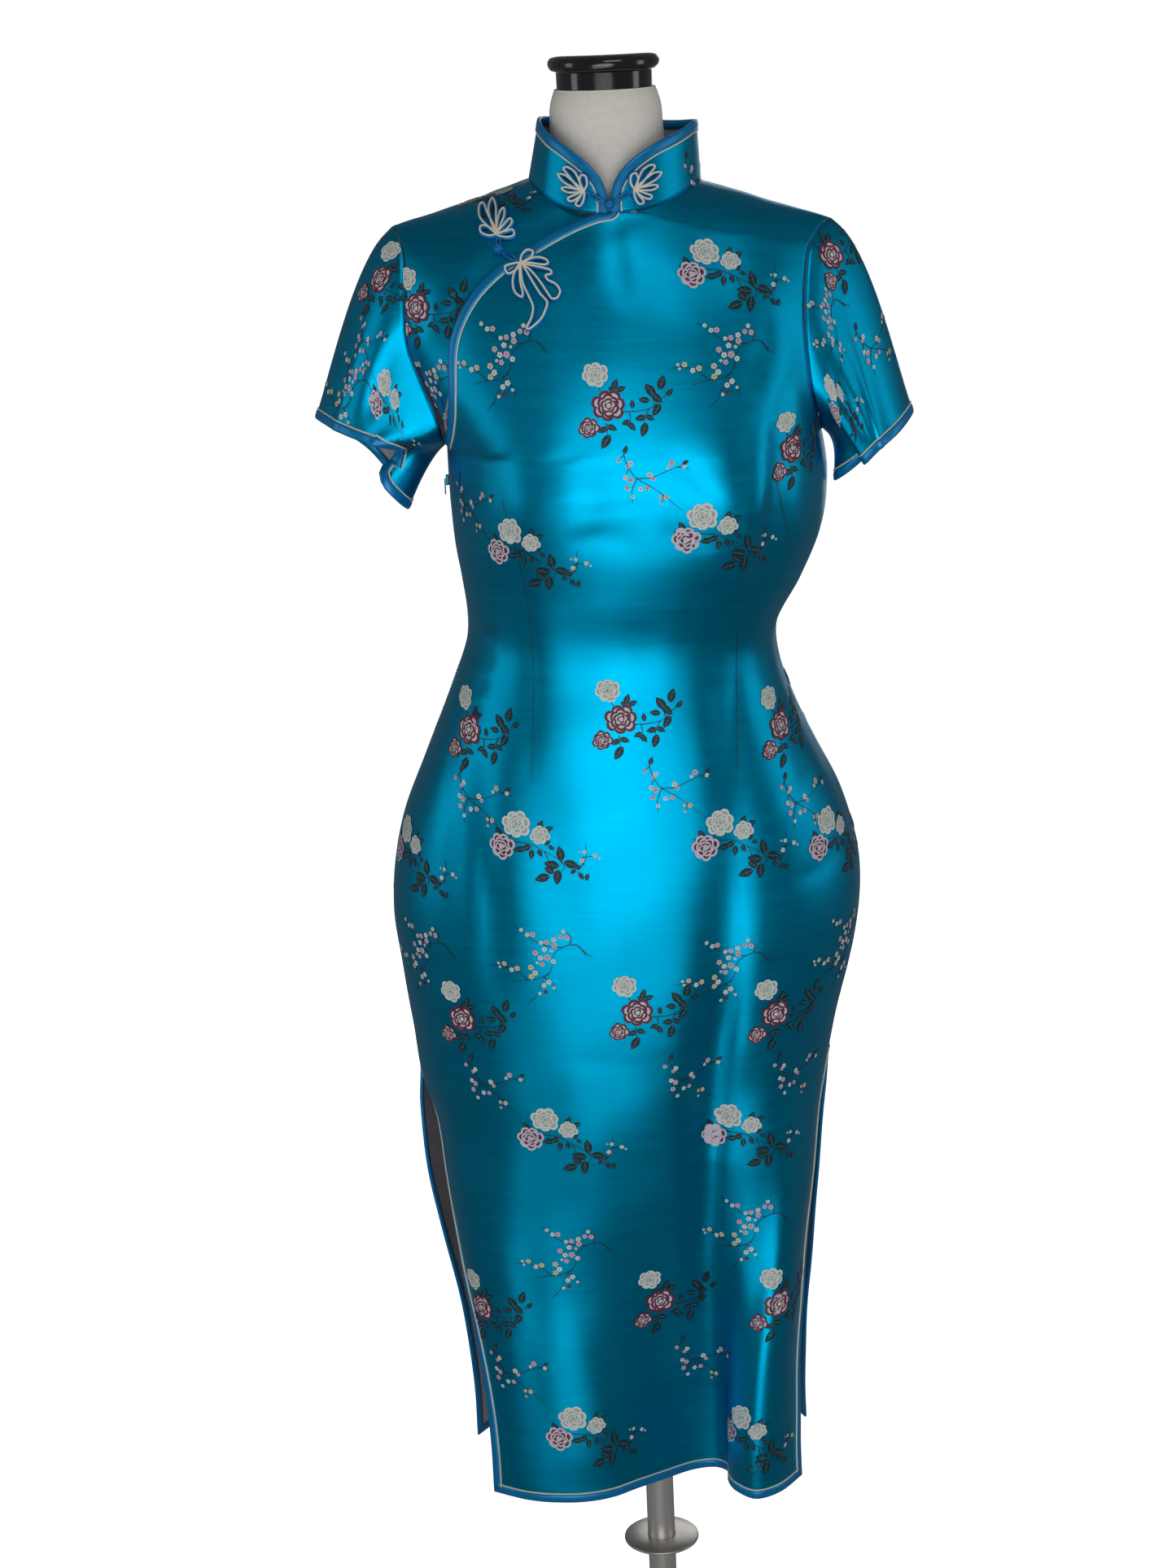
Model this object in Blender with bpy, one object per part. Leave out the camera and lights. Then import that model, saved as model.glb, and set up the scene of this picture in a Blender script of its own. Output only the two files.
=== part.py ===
"""Short-sleeved brocade qipao on a limbless dress form with its stand.

Metres, +Z up. The origin lies on the floor under the pole's axis. The front
of the dress faces -Y, and the wearer's left is +X.
"""
import bisect
import bmesh
import bpy
import numpy as np
from math import asin, cos, degrees, hypot, pi, radians, sin, sqrt
from mathutils import Vector
from mathutils.bvhtree import BVHTree

# Cloth
WALL = 0.0012
SEAM_GAP = 0.0003
UNDERLAP_DROP = 0.0038
UNDERLAP_FLAT = 0.005
UNDERLAP_RISE = 0.013
BINDING_WIDTH = 0.007
BINDING_LIFT = 0.0008
BINDING_THICKNESS = 0.0011
PIPING_WIDTH = 0.0013
PIPING_GAP = 0.0006
PIPING_THICKNESS = 0.0014
PLACKET_START_GAP = 0.014
PLACKET_END_GAP = 0.004
PLACKET_LIFT = 0.0012

# Heights above the floor
HEM_Z = 0.285
SLIT_TOP_Z = 0.653
UNDERARM_Z = 1.19
COLLAR_HEIGHT = 0.045

# Body of the dress, one row per height: z, half width, centre x, front depth, back depth
BODY = (
    (0.653, 0.1760, -0.0160, 0.115, 0.115),
    (0.695, 0.1825, -0.0135, 0.118, 0.120),
    (0.731, 0.1895, -0.0105, 0.120, 0.123),
    (0.768, 0.1955, -0.0085, 0.122, 0.124),
    (0.803, 0.1980, -0.0080, 0.122, 0.125),
    (0.830, 0.1960, -0.0075, 0.121, 0.125),
    (0.865, 0.1895, -0.0075, 0.119, 0.122),
    (0.898, 0.1780, -0.0080, 0.116, 0.118),
    (0.934, 0.1615, -0.0085, 0.111, 0.108),
    (0.970, 0.1455, -0.0085, 0.106, 0.098),
    (0.997, 0.1355, -0.0075, 0.102, 0.090),
    (1.025, 0.1280, -0.0040, 0.100, 0.085),
    (1.050, 0.1310, 0.0010, 0.105, 0.085),
    (1.080, 0.1415, 0.0085, 0.114, 0.089),
    (1.112, 0.1505, 0.0135, 0.122, 0.093),
    (1.150, 0.1540, 0.0150, 0.126, 0.098),
    (1.190, 0.1520, 0.0130, 0.125, 0.103),
)
SQUARENESS = 2.2
SHOULDER_HALF = 0.184
SHOULDER_CENTRE = -0.006
FRONT_ROUNDING = 1.6
BACK_ROUNDING = 3.2
BUST = {"x": 0.086, "z": 1.165, "out": 0.013, "wide": 0.050, "high": 0.052}
SEAT = {"x": 0.080, "z": 0.840, "out": 0.010, "wide": 0.060, "high": 0.070}

# Shoulder line seen from the front: x, z
SHOULDER_LINE = (
    (-0.190, 1.3560), (-0.173, 1.3660), (-0.148, 1.3730), (-0.122, 1.3800),
    (-0.096, 1.3880), (-0.069, 1.3970), (-0.030, 1.4110), (0.000, 1.4190),
    (0.030, 1.4110), (0.069, 1.3940), (0.085, 1.3880), (0.111, 1.3800),
    (0.137, 1.3710), (0.162, 1.3630), (0.176, 1.3580), (0.190, 1.3500),
)

# Armholes and the slanted front opening seen from the front: x, z
ARMHOLE_FRONT_RIGHT = (
    (-0.1390, 1.190), (-0.1420, 1.214), (-0.1580, 1.258), (-0.1630, 1.276),
    (-0.1640, 1.303), (-0.1645, 1.345), (-0.1730, 1.366),
)
ARMHOLE_FRONT_LEFT = (
    (0.1650, 1.190), (0.1620, 1.202), (0.1530, 1.235), (0.1520, 1.267),
    (0.1490, 1.302), (0.1500, 1.325), (0.1650, 1.352), (0.1760, 1.358),
)
ARMHOLE_BACK_RIGHT = (
    (-0.1390, 1.190), (-0.1400, 1.212), (-0.1500, 1.250), (-0.1580, 1.295),
    (-0.1640, 1.340), (-0.1730, 1.366),
)
ARMHOLE_BACK_LEFT = (
    (0.1650, 1.190), (0.1600, 1.212), (0.1560, 1.250), (0.1570, 1.295),
    (0.1650, 1.340), (0.1760, 1.358),
)
PLACKET = (
    (-0.1390, 1.190), (-0.1360, 1.206), (-0.1325, 1.234), (-0.1315, 1.259),
    (-0.1280, 1.284), (-0.1200, 1.303), (-0.1050, 1.324), (-0.0820, 1.342),
    (-0.0570, 1.355), (-0.0310, 1.368), (-0.0005, 1.382),
)
UNDERLAP_EDGE = (
    (-0.1230, 1.194), (-0.1160, 1.225), (-0.1145, 1.260), (-0.1080, 1.282),
    (-0.0950, 1.301), (-0.0780, 1.318), (-0.0570, 1.332), (-0.0320, 1.347),
    (-0.0050, 1.362), (0.0140, 1.381),
)

# Neckline seen from above
NECK_CENTRE_X = 0.0055
NECK_HALF = 0.0665
NECK_FRONT = 0.066
NECK_BACK = 0.055
NECK_END_ANGLE = 0.5
UNDERLAP_NECK_ANGLE = 8.0
COLLAR_TOP = {"centre": 0.0095, "half": 0.0615, "front": 0.060, "back": 0.051}
COLLAR_CORNER_ANGLE = 42.0
COLLAR_CORNER_POWER = 2.0
COLLAR_WALL = 0.0012
COLLAR_STEP_OUT = 0.0010
COLLAR_SEAM_RISE = 0.0008
COLLAR_END_TURN = 1.2
COLLAR_FRONT_TURNS = (1.2, 2.2, 4.0, 6.5, 9.5, 13.5, 18.0, 23.0, 29.0, 35.5, 42.0, 52.0)
COLLAR_END_HEIGHT = 0.006

# Skirt panels below the slits: z, x of the edge on the wearer's right and left
FRONT_EDGES = (
    (0.285, -0.1440, 0.1240), (0.340, -0.1530, 0.1270), (0.400, -0.1625, 0.1315),
    (0.455, -0.1690, 0.1360), (0.525, -0.1735, 0.1420), (0.575, -0.1765, 0.1490),
    (0.620, -0.1815, 0.1535), (0.653, -0.1920, 0.1600),
)
BACK_EDGES = (
    (0.285, -0.1620, 0.1350), (0.346, -0.1690, 0.1390), (0.411, -0.1760, 0.1430),
    (0.474, -0.1830, 0.1470), (0.530, -0.1905, 0.1500), (0.607, -0.1940, 0.1560),
    (0.653, -0.1920, 0.1600),
)
# Hems seen from above: share of the way across, x, y
FRONT_HEM = (
    (0.00, -0.144, -0.085), (0.09, -0.117, -0.100), (0.18, -0.086, -0.108),
    (0.28, -0.050, -0.106), (0.43, -0.007, -0.080), (0.55, 0.028, -0.060),
    (0.615, 0.049, -0.056), (0.655, 0.060, -0.064), (0.74, 0.062, -0.093),
    (0.84, 0.087, -0.116), (0.91, 0.105, -0.101), (1.00, 0.124, -0.075),
)
BACK_HEM = (
    (0.00, -0.162, 0.018), (0.17, -0.122, 0.075), (0.36, -0.062, 0.104),
    (0.53, 0.000, 0.094), (0.70, 0.058, 0.106), (0.87, 0.108, 0.080),
    (1.00, 0.135, 0.030),
)
VALLEY = {"x": 0.057, "top": 0.90, "depth": 0.018, "wide": 0.018}

# Stations of the panels. Columns are closer together at the lobe of the front hem
FRONT_SHARES = (
    0.0, 0.05, 0.10, 0.16, 0.23, 0.31, 0.39, 0.48, 0.56, 0.62, 0.66, 0.71, 0.76, 0.82, 0.90, 1.0,
)
BACK_SHARES = (0.0, 0.07, 0.15, 0.23, 0.30, 0.36, 0.43, 0.50, 0.57, 0.64, 0.70, 0.77, 0.85, 0.93, 1.0)
SKIRT_HEIGHTS = (HEM_Z, 0.325, 0.385, 0.445, 0.505, 0.565, 0.615, SLIT_TOP_Z)
TUBE_HEIGHTS = (
    0.70, 0.75, 0.795, 0.84, 0.885, 0.93, 0.97, 1.005, 1.035, 1.075, 1.115, 1.155, UNDERARM_Z,
)
UPPER_ROWS = (
    0.07, 0.14, 0.21, 0.28, 0.35, 0.42, 0.49, 0.56, 0.63, 0.70, 0.75, 0.80, 0.85, 0.90, 0.95, 1.0,
)
NECK_ROW = 0.70
BACK_NECK_SHARE = 0.4
YOKE_SHARES = tuple(i / 9 for i in range(10))
YOKE_START = UPPER_ROWS[0]

# Sleeves: the hem loop from the underarm round the front to the back
SLEEVE_RINGS = 7
SLEEVE_HEM_RIGHT = (
    (0.00, -0.174, -0.004, 1.138), (0.05, -0.186, -0.022, 1.154), (0.09, -0.196, -0.018, 1.170),
    (0.14, -0.184, -0.012, 1.181), (0.20, -0.178, -0.036, 1.191), (0.29, -0.198, -0.045, 1.199),
    (0.39, -0.223, -0.034, 1.208), (0.50, -0.2445, -0.002, 1.2155), (0.60, -0.236, 0.028, 1.207),
    (0.73, -0.214, 0.046, 1.188), (0.86, -0.191, 0.040, 1.162), (0.94, -0.178, 0.018, 1.143),
)
SLEEVE_HEM_LEFT = (
    (0.00, 0.175, 0.004, 1.146), (0.05, 0.185, -0.008, 1.154), (0.10, 0.199, -0.012, 1.166),
    (0.15, 0.203, -0.026, 1.170), (0.20, 0.197, -0.042, 1.167), (0.29, 0.208, -0.044, 1.178),
    (0.39, 0.225, -0.033, 1.190), (0.50, 0.239, -0.004, 1.201), (0.60, 0.232, 0.026, 1.194),
    (0.73, 0.212, 0.044, 1.176), (0.86, 0.192, 0.040, 1.158), (0.94, 0.182, 0.020, 1.148),
)

# Corded frogs: middle seen from the front, then petals as angle, length, half width
FROG_CORD_RADIUS = 0.0013
FROG_NECK_RADIUS = 0.0042
FROG_PETALS_LOWER = (
    (128, 0.013, 0.0022), (66, 0.011, 0.0026), (12, 0.019, 0.0028), (-36, 0.027, 0.0040),
    (-74, 0.046, 0.0042), (-118, 0.021, 0.0028), (-172, 0.012, 0.0028),
)
FROG_PETALS_UPPER = (
    (-65, 0.0084, 0.0022), (22, 0.010, 0.0024), (72, 0.013, 0.0026), (112, 0.022, 0.0032),
    (152, 0.021, 0.0030), (205, 0.012, 0.0024),
)
FROG_PETALS_COLLAR = (
    (-32, 0.0150, 0.0022), (40, 0.009, 0.0022), (84, 0.014, 0.0026), (136, 0.018, 0.0030),
    (178, 0.023, 0.0034), (238, 0.010, 0.0024),
)
FROG_LOWER = (-0.0775, 1.3330)
FROG_UPPER = (-0.0925, 1.3630)
KNOT_RADIUS = 0.0042
KNOT_PLACKET = (-0.0865, 1.3500)
KNOT_PLACKET_LIFT = 0.0022
KNOT_COLLAR_HEIGHT = 0.004
KNOT_COLLAR_LIFT = 0.0060
COLLAR_FROG_ANGLE = 16.2
COLLAR_FROG_HEIGHT = 0.012

# Zip on the wearer's right side seam
ZIP_Z = 1.160
SLIDER = {"wide": 0.0055, "high": 0.0085, "deep": 0.0026}
PULL_TAB = {"wide": 0.0030, "long": 0.0130, "thick": 0.0010}

# Dress form and stand
FORM_INSET = 0.014
FORM_SHOULDER_INSET = 0.010
FORM_RIDGE_INSET = 0.020
FORM_BOTTOM_Z = 0.740
FORM_SHOULDER_GAP = 0.0008
FORM_ANGLES = tuple(-90 + 15 * i for i in range(24))
FORM_HEIGHTS = (FORM_BOTTOM_Z, 0.77, 0.80, 0.86, 0.92, 0.97, 1.025, 1.08, 1.13, UNDERARM_Z)
NECK_TOP_Z = 1.4665
NECK_PROFILE = ((0.052, 1.380), (0.0470, 1.405), (0.0448, 1.430), (0.0440, 1.450), (0.0400, 1.4665))
CAP_PROFILE = (
    (0.0, 1.4668), (0.0380, 1.4668), (0.0382, 1.4800), (0.0430, 1.4820), (0.0445, 1.4860),
    (0.0432, 1.4900), (0.0390, 1.4930), (0.0, 1.4940),
)
POLE_RADIUS = 0.0123
SOCKET_DEPTH = 0.080
SOCKET_GAP = 0.0004
FLANGE_Z = 0.1795
FLANGE_PROFILE = (
    (0.0127, 0.0), (0.0200, 0.0), (0.0205, 0.0040), (0.0325, 0.0055), (0.0335, 0.0070),
    (0.0325, 0.0085), (0.0127, 0.0095),
)
BASE_RADIUS = 0.180
BASE_THICKNESS = 0.008
HUB_RADIUS = 0.030
HUB_HEIGHT = 0.035
FIT_GAP = 0.0003


def clear_scene():
    for item in list(bpy.data.objects):
        bpy.data.objects.remove(item, do_unlink=True)


def material(name, colour, roughness, metallic=0.0):
    mat = bpy.data.materials.new(name)
    mat.use_nodes = True
    shader = mat.node_tree.nodes["Principled BSDF"]
    shader.inputs["Base Color"].default_value = (*colour, 1.0)
    shader.inputs["Roughness"].default_value = roughness
    shader.inputs["Metallic"].default_value = metallic
    return mat


def smooth_step(value):
    value = min(max(value, 0.0), 1.0)
    return value * value * (3.0 - 2.0 * value)


def curve_through(rows, at):
    """Values at one place of a table, on a smooth curve through its rows."""
    keys = [row[0] for row in rows]
    at = min(max(at, keys[0]), keys[-1])
    i = min(max(bisect.bisect_right(keys, at) - 1, 0), len(keys) - 2)
    span = keys[i + 1] - keys[i]
    t = (at - keys[i]) / span
    values = []
    for k in range(1, len(rows[0])):
        start = slope_at(rows, i, k) * span
        end = slope_at(rows, i + 1, k) * span
        a = rows[i][k]
        b = rows[i + 1][k]
        values.append(
            a * (2 * t**3 - 3 * t**2 + 1) + start * (t**3 - 2 * t**2 + t)
            + b * (3 * t**2 - 2 * t**3) + end * (t**3 - t**2)
        )
    return values


def slope_at(rows, i, k):
    low = max(i - 1, 0)
    high = min(i + 1, len(rows) - 1)
    return (rows[high][k] - rows[low][k]) / (rows[high][0] - rows[low][0])


def along(points, share):
    """A point on the smooth curve through a list, at a share of its length."""
    lengths = [0.0]
    for a, b in zip(points, points[1:]):
        lengths.append(lengths[-1] + sqrt(sum((p - q) ** 2 for p, q in zip(a, b))))
    rows = [(length / lengths[-1], *point) for length, point in zip(lengths, points)]
    return curve_through(rows, share)


def signed_power(value, power):
    return abs(value) ** power * (1 if value > 0 else -1)


def shoulder_z(x):
    return curve_through(SHOULDER_LINE, x)[0]


def level_share(row):
    """Height share between the underarm and the shoulder line, for a row from 0 to 1."""
    return sin(row * pi / 2) ** 1.25


def upper_section(share):
    half, centre, front, back = curve_through(BODY, UNDERARM_Z)
    grow = 1 - (1 - share) ** 2
    half += (SHOULDER_HALF - half) * grow
    centre += (SHOULDER_CENTRE - centre) * grow
    return half, centre, front, back


def body_point(angle, z=None, row=None, inset=0.0, drop=0.0):
    """A point of the body. The angle is 0 in front, 90 at the wearer's left.

    Below the underarm z gives the height, above it row runs from 0 to 1.
    """
    share = 0.0
    if row is None:
        half, centre, front, back = curve_through(BODY, z)
    else:
        share = level_share(row)
        half, centre, front, back = upper_section(share)
    if inset:
        half -= inset + FORM_SHOULDER_INSET * share
        front -= inset + FORM_RIDGE_INSET * share
        back -= inset + FORM_RIDGE_INSET * share
    turn = radians(angle)
    x = centre + half * signed_power(sin(turn), 2 / SQUARENESS)
    reach = abs(cos(turn)) ** (2 / SQUARENESS)
    in_front = cos(turn) > 0
    if in_front:
        depth = front * reach * sqrt(max(1 - share**FRONT_ROUNDING, 0.0))
    else:
        depth = back * reach * sqrt(max(1 - share**BACK_ROUNDING, 0.0))
    if row is not None:
        lower = drop + (0.008 * smooth_step((0.095 - abs(x)) / 0.03) if drop else 0.0)
        z = UNDERARM_Z + (shoulder_z(x) - lower - UNDERARM_Z) * share
    depth += fullness(x - centre, z, BUST if in_front else SEAT) * reach
    return np.array((x, -depth if in_front else depth, z))


def fullness(x, z, place):
    high = ((z - place["z"]) / place["high"]) ** 2
    left = ((x - place["x"]) / place["wide"]) ** 2
    right = ((x + place["x"]) / place["wide"]) ** 2
    return place["out"] * (np.exp(-left - high) + np.exp(-right - high))


def place_on_body(x, z, back=False):
    """Angle and row of the point that shows at x, z from the front."""
    share = min(max((z - UNDERARM_Z) / (shoulder_z(x) - UNDERARM_Z), 0.0), 1.0)
    half, centre, _, _ = upper_section(share)
    across = min(max((x - centre) / half, -1.0), 1.0)
    angle = degrees(asin(signed_power(across, SQUARENESS / 2)))
    if back:
        angle = 180 - angle
    return angle, asin(share**0.8) / (pi / 2)


def neck_x(turn, centre, half):
    """The sideways place round the neck. The front middle lies at x 0."""
    return centre * (1 - max(cos(radians(turn)), 0.0)) + half * sin(radians(turn))


def neck_place(turn):
    """Angle and row of the neckline point at a turn about the neck, 0 in front."""
    front = cos(radians(turn)) > 0
    x = neck_x(turn, NECK_CENTRE_X, NECK_HALF)
    y = (NECK_FRONT if front else NECK_BACK) * abs(cos(radians(turn)))
    low = 0.0
    high = 1.0
    for _ in range(40):
        row = (low + high) / 2
        angle = angle_at(x, row, not front)
        if abs(body_point(angle, row=row)[1]) > y:
            low = row
        else:
            high = row
    return angle_at(x, row, not front), row


def angle_at(x, row, back):
    half, centre, _, _ = upper_section(level_share(row))
    across = min(max((x - centre) / half, -1.0), 1.0)
    angle = degrees(asin(signed_power(across, SQUARENESS / 2)))
    return 180 - angle if back else angle


def blend_edges(bottom, top, left, right, u, v):
    """A point inside four edge curves, each given from 0 to 1."""
    b = np.array(bottom(u))
    t = np.array(top(u))
    l = np.array(left(v))
    r = np.array(right(v))
    b0 = np.array(bottom(0.0))
    b1 = np.array(bottom(1.0))
    t0 = np.array(top(0.0))
    t1 = np.array(top(1.0))
    l += (1 - v) * (b0 - np.array(left(0.0))) + v * (t0 - np.array(left(1.0)))
    r += (1 - v) * (b1 - np.array(right(0.0))) + v * (t1 - np.array(right(1.0)))
    corners = (1 - u) * (1 - v) * b0 + u * (1 - v) * b1 + (1 - u) * v * t0 + u * v * t1
    return (1 - v) * b + v * t + (1 - u) * l + u * r - corners


def body_curve(points, back=False):
    places = [place_on_body(x, z, back) for x, z in points]
    return lambda share: along(places, share)


def edge_then_neck(points, neck_start, neck_end, corner):
    """A slanted edge up to the neckline at the corner's share, then the neckline."""
    places = [place_on_body(x, z) for x, z in points[:-1]] + [neck_place(neck_start)]
    def edge(share):
        if share <= corner:
            return along(places, share / corner)
        return neck_place(neck_start + (neck_end - neck_start) * (share - corner) / (1 - corner))
    return edge


def shoulder_edge(neck_turn, armhole, back=False):
    """The shoulder seam from the neckline (0) to the armhole (1)."""
    x0 = neck_x(neck_turn, NECK_CENTRE_X, NECK_HALF)
    x1 = armhole[-1][0]
    return lambda share: (angle_at(x0 + (x1 - x0) * share, 1.0, back), 1.0)


def front_place(u, v):
    """A place of the chest between the slanted opening (u 0) and the left armhole (u 1)."""
    bottom = lambda share: (-90 + 180 * share, 0.0)
    opening = edge_then_neck(PLACKET, -NECK_END_ANGLE, 90, NECK_ROW)
    top = shoulder_edge(90, ARMHOLE_FRONT_LEFT)
    return blend_edges(bottom, top, opening, body_curve(ARMHOLE_FRONT_LEFT), u, v)


def back_place(u, v):
    """A place of the back from the wearer's right (u 0) to the left (u 1)."""
    bottom = lambda share: (270 - 180 * share, 0.0)
    right = shoulder_edge(270, ARMHOLE_BACK_RIGHT, back=True)
    left = shoulder_edge(90, ARMHOLE_BACK_LEFT, back=True)
    beside = (1 - BACK_NECK_SHARE) / 2
    def top(share):
        if share < beside:
            return fold_angle(right(1 - share / beside))
        if share > 1 - beside:
            return fold_angle(left((share - 1 + beside) / beside))
        turn = 270 - 180 * (share - beside) / BACK_NECK_SHARE
        return fold_angle(neck_place(min(max(turn, 90.01), 269.99)))
    return blend_edges(
        bottom, top, body_curve(ARMHOLE_BACK_RIGHT, True), body_curve(ARMHOLE_BACK_LEFT, True), u, v)


def fold_angle(place):
    angle, row = place
    return angle % 360, row


def skirt_front(u, z):
    """Front panel from the wearer's right (u 0) to the left (u 1), z under the underarm."""
    point = body_point(-90 + 180 * u, z=max(z, SLIT_TOP_Z))
    centre = curve_through(BODY, max(z, SLIT_TOP_Z))[1]
    inward = VALLEY["depth"] * smooth_step((VALLEY["top"] - z) / (VALLEY["top"] - 0.60))
    beside = (point[0] - VALLEY["x"]) / VALLEY["wide"]
    point[1] += inward * np.exp(-beside**2)
    if z < SLIT_TOP_Z:
        right, left = curve_through(FRONT_EDGES, z)
        reach = (point[0] - centre) / BODY[0][1]
        share = (reach + 1) / 2
        point[0] = right + (left - right) * share
        fall = smooth_step((SLIT_TOP_Z + 0.06 - z) / (SLIT_TOP_Z + 0.06 - HEM_Z))
        fall = (fall - smooth_step(0.06 / (SLIT_TOP_Z + 0.06 - HEM_Z))) / (
            1 - smooth_step(0.06 / (SLIT_TOP_Z + 0.06 - HEM_Z)))
        hem_x, hem_y = curve_through(FRONT_HEM, u)
        point[0] += (hem_x - point[0]) * fall**2
        point[1] += (hem_y - point[1]) * fall
        point[2] = z
    return point


def skirt_back(u, z):
    point = body_point(270 - 180 * u, z=max(z, SLIT_TOP_Z))
    centre = curve_through(BODY, max(z, SLIT_TOP_Z))[1]
    if z < SLIT_TOP_Z:
        right, left = curve_through(BACK_EDGES, z)
        share = ((point[0] - centre) / BODY[0][1] + 1) / 2
        point[0] = right + (left - right) * share
        fall = smooth_step((SLIT_TOP_Z - z) / (SLIT_TOP_Z - HEM_Z))
        hem_x, hem_y = curve_through(BACK_HEM, u)
        point[0] += (hem_x - point[0]) * fall**2
        point[1] += (hem_y - point[1]) * fall
        point[2] = z
    return point


def panel_points(skirt, place, shares):
    """Outer points and outward directions of a whole panel, row by row from the hem."""
    heights = SKIRT_HEIGHTS + TUBE_HEIGHTS
    points = [[skirt(u, z) for u in shares] for z in heights]
    outward = [[skirt_out(skirt, u, z) for u in shares] for z in heights]
    upper, upper_out = upper_points(place, UPPER_ROWS, shares)
    return np.concatenate((points, upper)), np.concatenate((outward, upper_out))


def upper_points(place, rows, shares):
    """Points above the underarm, with the body's outward directions."""
    places = [[place(u, v) for u in shares] for v in rows]
    points = [[body_point(a, row=min(max(row, 0.0), 1.0)) for a, row in line] for line in places]
    outward = [[body_out(a, row) for a, row in line] for line in places]
    return np.array(points), np.array(outward)


def skirt_out(skirt, u, z):
    """The outward direction under the underarm, measured with small steps inside the panel."""
    step = 0.0005
    across = skirt(min(u + step, 1.0), z) - skirt(max(u - step, 0.0), z)
    top = min(z + step, UNDERARM_Z)
    up = skirt(u, top) - skirt(u, top - 2 * step)
    out = np.cross(across, up)
    return unit(-out if skirt is skirt_back else out)


def pull_in(points, gap, sides):
    """Moves the named edges of a grid inward by half a seam's gap."""
    points = points.copy()
    if "u0" in sides:
        points[:, 0] += gap * unit(points[:, 1] - points[:, 0])
    if "u1" in sides:
        points[:, -1] += gap * unit(points[:, -2] - points[:, -1])
    if "v0" in sides:
        points[0] += gap * unit(points[1] - points[0])
    if "v1" in sides:
        points[-1] += gap * unit(points[-2] - points[-1])
    return points


def unit(vectors):
    return vectors / np.linalg.norm(vectors, axis=-1, keepdims=True)


def new_object(name, bm, mat):
    bmesh.ops.recalc_face_normals(bm, faces=bm.faces)
    if bm.calc_volume(signed=True) < 0:
        bmesh.ops.reverse_faces(bm, faces=bm.faces)
    bmesh.ops.triangulate(bm, faces=bm.faces)
    mesh = bpy.data.meshes.new(name)
    bm.to_mesh(mesh)
    bm.free()
    mesh.materials.append(mat)
    mesh.shade_smooth()
    mesh.set_sharp_from_angle(angle=radians(40))
    item = bpy.data.objects.new(name, mesh)
    bpy.context.scene.collection.objects.link(item)
    return item


def shell(name, outer, inner, mat, round_across=False):
    """A closed wall between two grids of points. A tube has no side rims."""
    bm = bmesh.new()
    rows, columns = outer.shape[:2]
    over = [[bm.verts.new(p) for p in row] for row in outer]
    under = [[bm.verts.new(p) for p in row] for row in inner]
    spans = columns if round_across else columns - 1
    for i in range(rows - 1):
        for j in range(spans):
            k = (j + 1) % columns
            bm.faces.new((over[i][j], over[i][k], over[i + 1][k], over[i + 1][j]))
            bm.faces.new((under[i][j], under[i + 1][j], under[i + 1][k], under[i][k]))
    for j in range(spans):
        k = (j + 1) % columns
        bm.faces.new((over[0][j], under[0][j], under[0][k], over[0][k]))
        bm.faces.new((over[-1][j], over[-1][k], under[-1][k], under[-1][j]))
    if not round_across:
        for i in range(rows - 1):
            bm.faces.new((over[i][0], over[i + 1][0], under[i + 1][0], under[i][0]))
            bm.faces.new((over[i][-1], under[i][-1], under[i + 1][-1], over[i + 1][-1]))
    return new_object(name, bm, mat)


def facets(item):
    mesh = item.data
    corners = [vertex.co for vertex in mesh.vertices]
    return BVHTree.FromPolygons(corners, [tuple(face.vertices) for face in mesh.polygons])


def on_facets(tree, points, out, lift):
    """Points moved onto the panel's outer facets and out again by the lift."""
    laid = []
    for point, direction in zip(points, out):
        ray = Vector(direction)
        hit = tree.ray_cast(Vector(point) + ray * 0.006, -ray, 0.010)[0]
        laid.append(point + direction * lift if hit is None else np.array(hit + ray * lift))
    return np.array(laid)


def between(points):
    """The same line with a point added halfway along each step."""
    middles = (points + np.roll(points, -1, axis=0)) / 2
    return np.stack((points, middles), axis=1).reshape(-1, 3)[:-1]


def strip(name, tree, edge, inner, out, start, width, thickness, mat, closed=False, lift=BINDING_LIFT):
    """A flat band along an edge, laid on the outer face of a panel.

    edge and inner are matching points: the edge itself and a point further in.
    """
    inward = unit(inner - edge)
    near = on_facets(tree, edge + inward * max(start, 0.0001), out, lift)
    far = on_facets(tree, edge + inward * (start + width), out, lift)
    high = out * thickness
    section = np.stack((near, near + high, far + high, far), axis=1)
    bm = bmesh.new()
    rings = [[bm.verts.new(p) for p in ring] for ring in section]
    count = len(rings)
    for i in range(count if closed else count - 1):
        a = rings[i]
        b = rings[(i + 1) % count]
        for k in range(4):
            m = (k + 1) % 4
            bm.faces.new((a[k], a[m], b[m], b[k]))
    if not closed:
        bm.faces.new(rings[0])
        bm.faces.new(rings[-1][::-1])
    return new_object(name, bm, mat)


def square_in(edge, inner, out):
    """Points straight in from an edge, square to its run."""
    inward = np.cross(np.gradient(edge, axis=0), out)
    towards = (inward * (inner - edge)).sum(axis=1, keepdims=True)
    return edge + unit(inward) * np.sign(towards) * 0.01


def bind_edge(name, item, line, mats, closed=False, halvings=1, lift=BINDING_LIFT):
    """Satin binding along an edge, with the cream piping on its inner side.

    The line holds the edge's points, points further in and outward directions.
    """
    tree = facets(item)
    for _ in range(halvings):
        line = [between(points) for points in line]
    edge, inner, out = line
    strip(name + "_binding", tree, edge, inner, unit(out), 0.0, BINDING_WIDTH,
          BINDING_THICKNESS, mats["binding"], closed, lift)
    strip(name + "_piping", tree, edge, inner, unit(out), BINDING_WIDTH + PIPING_GAP,
          PIPING_WIDTH, PIPING_THICKNESS, mats["piping"], closed, lift)


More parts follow.
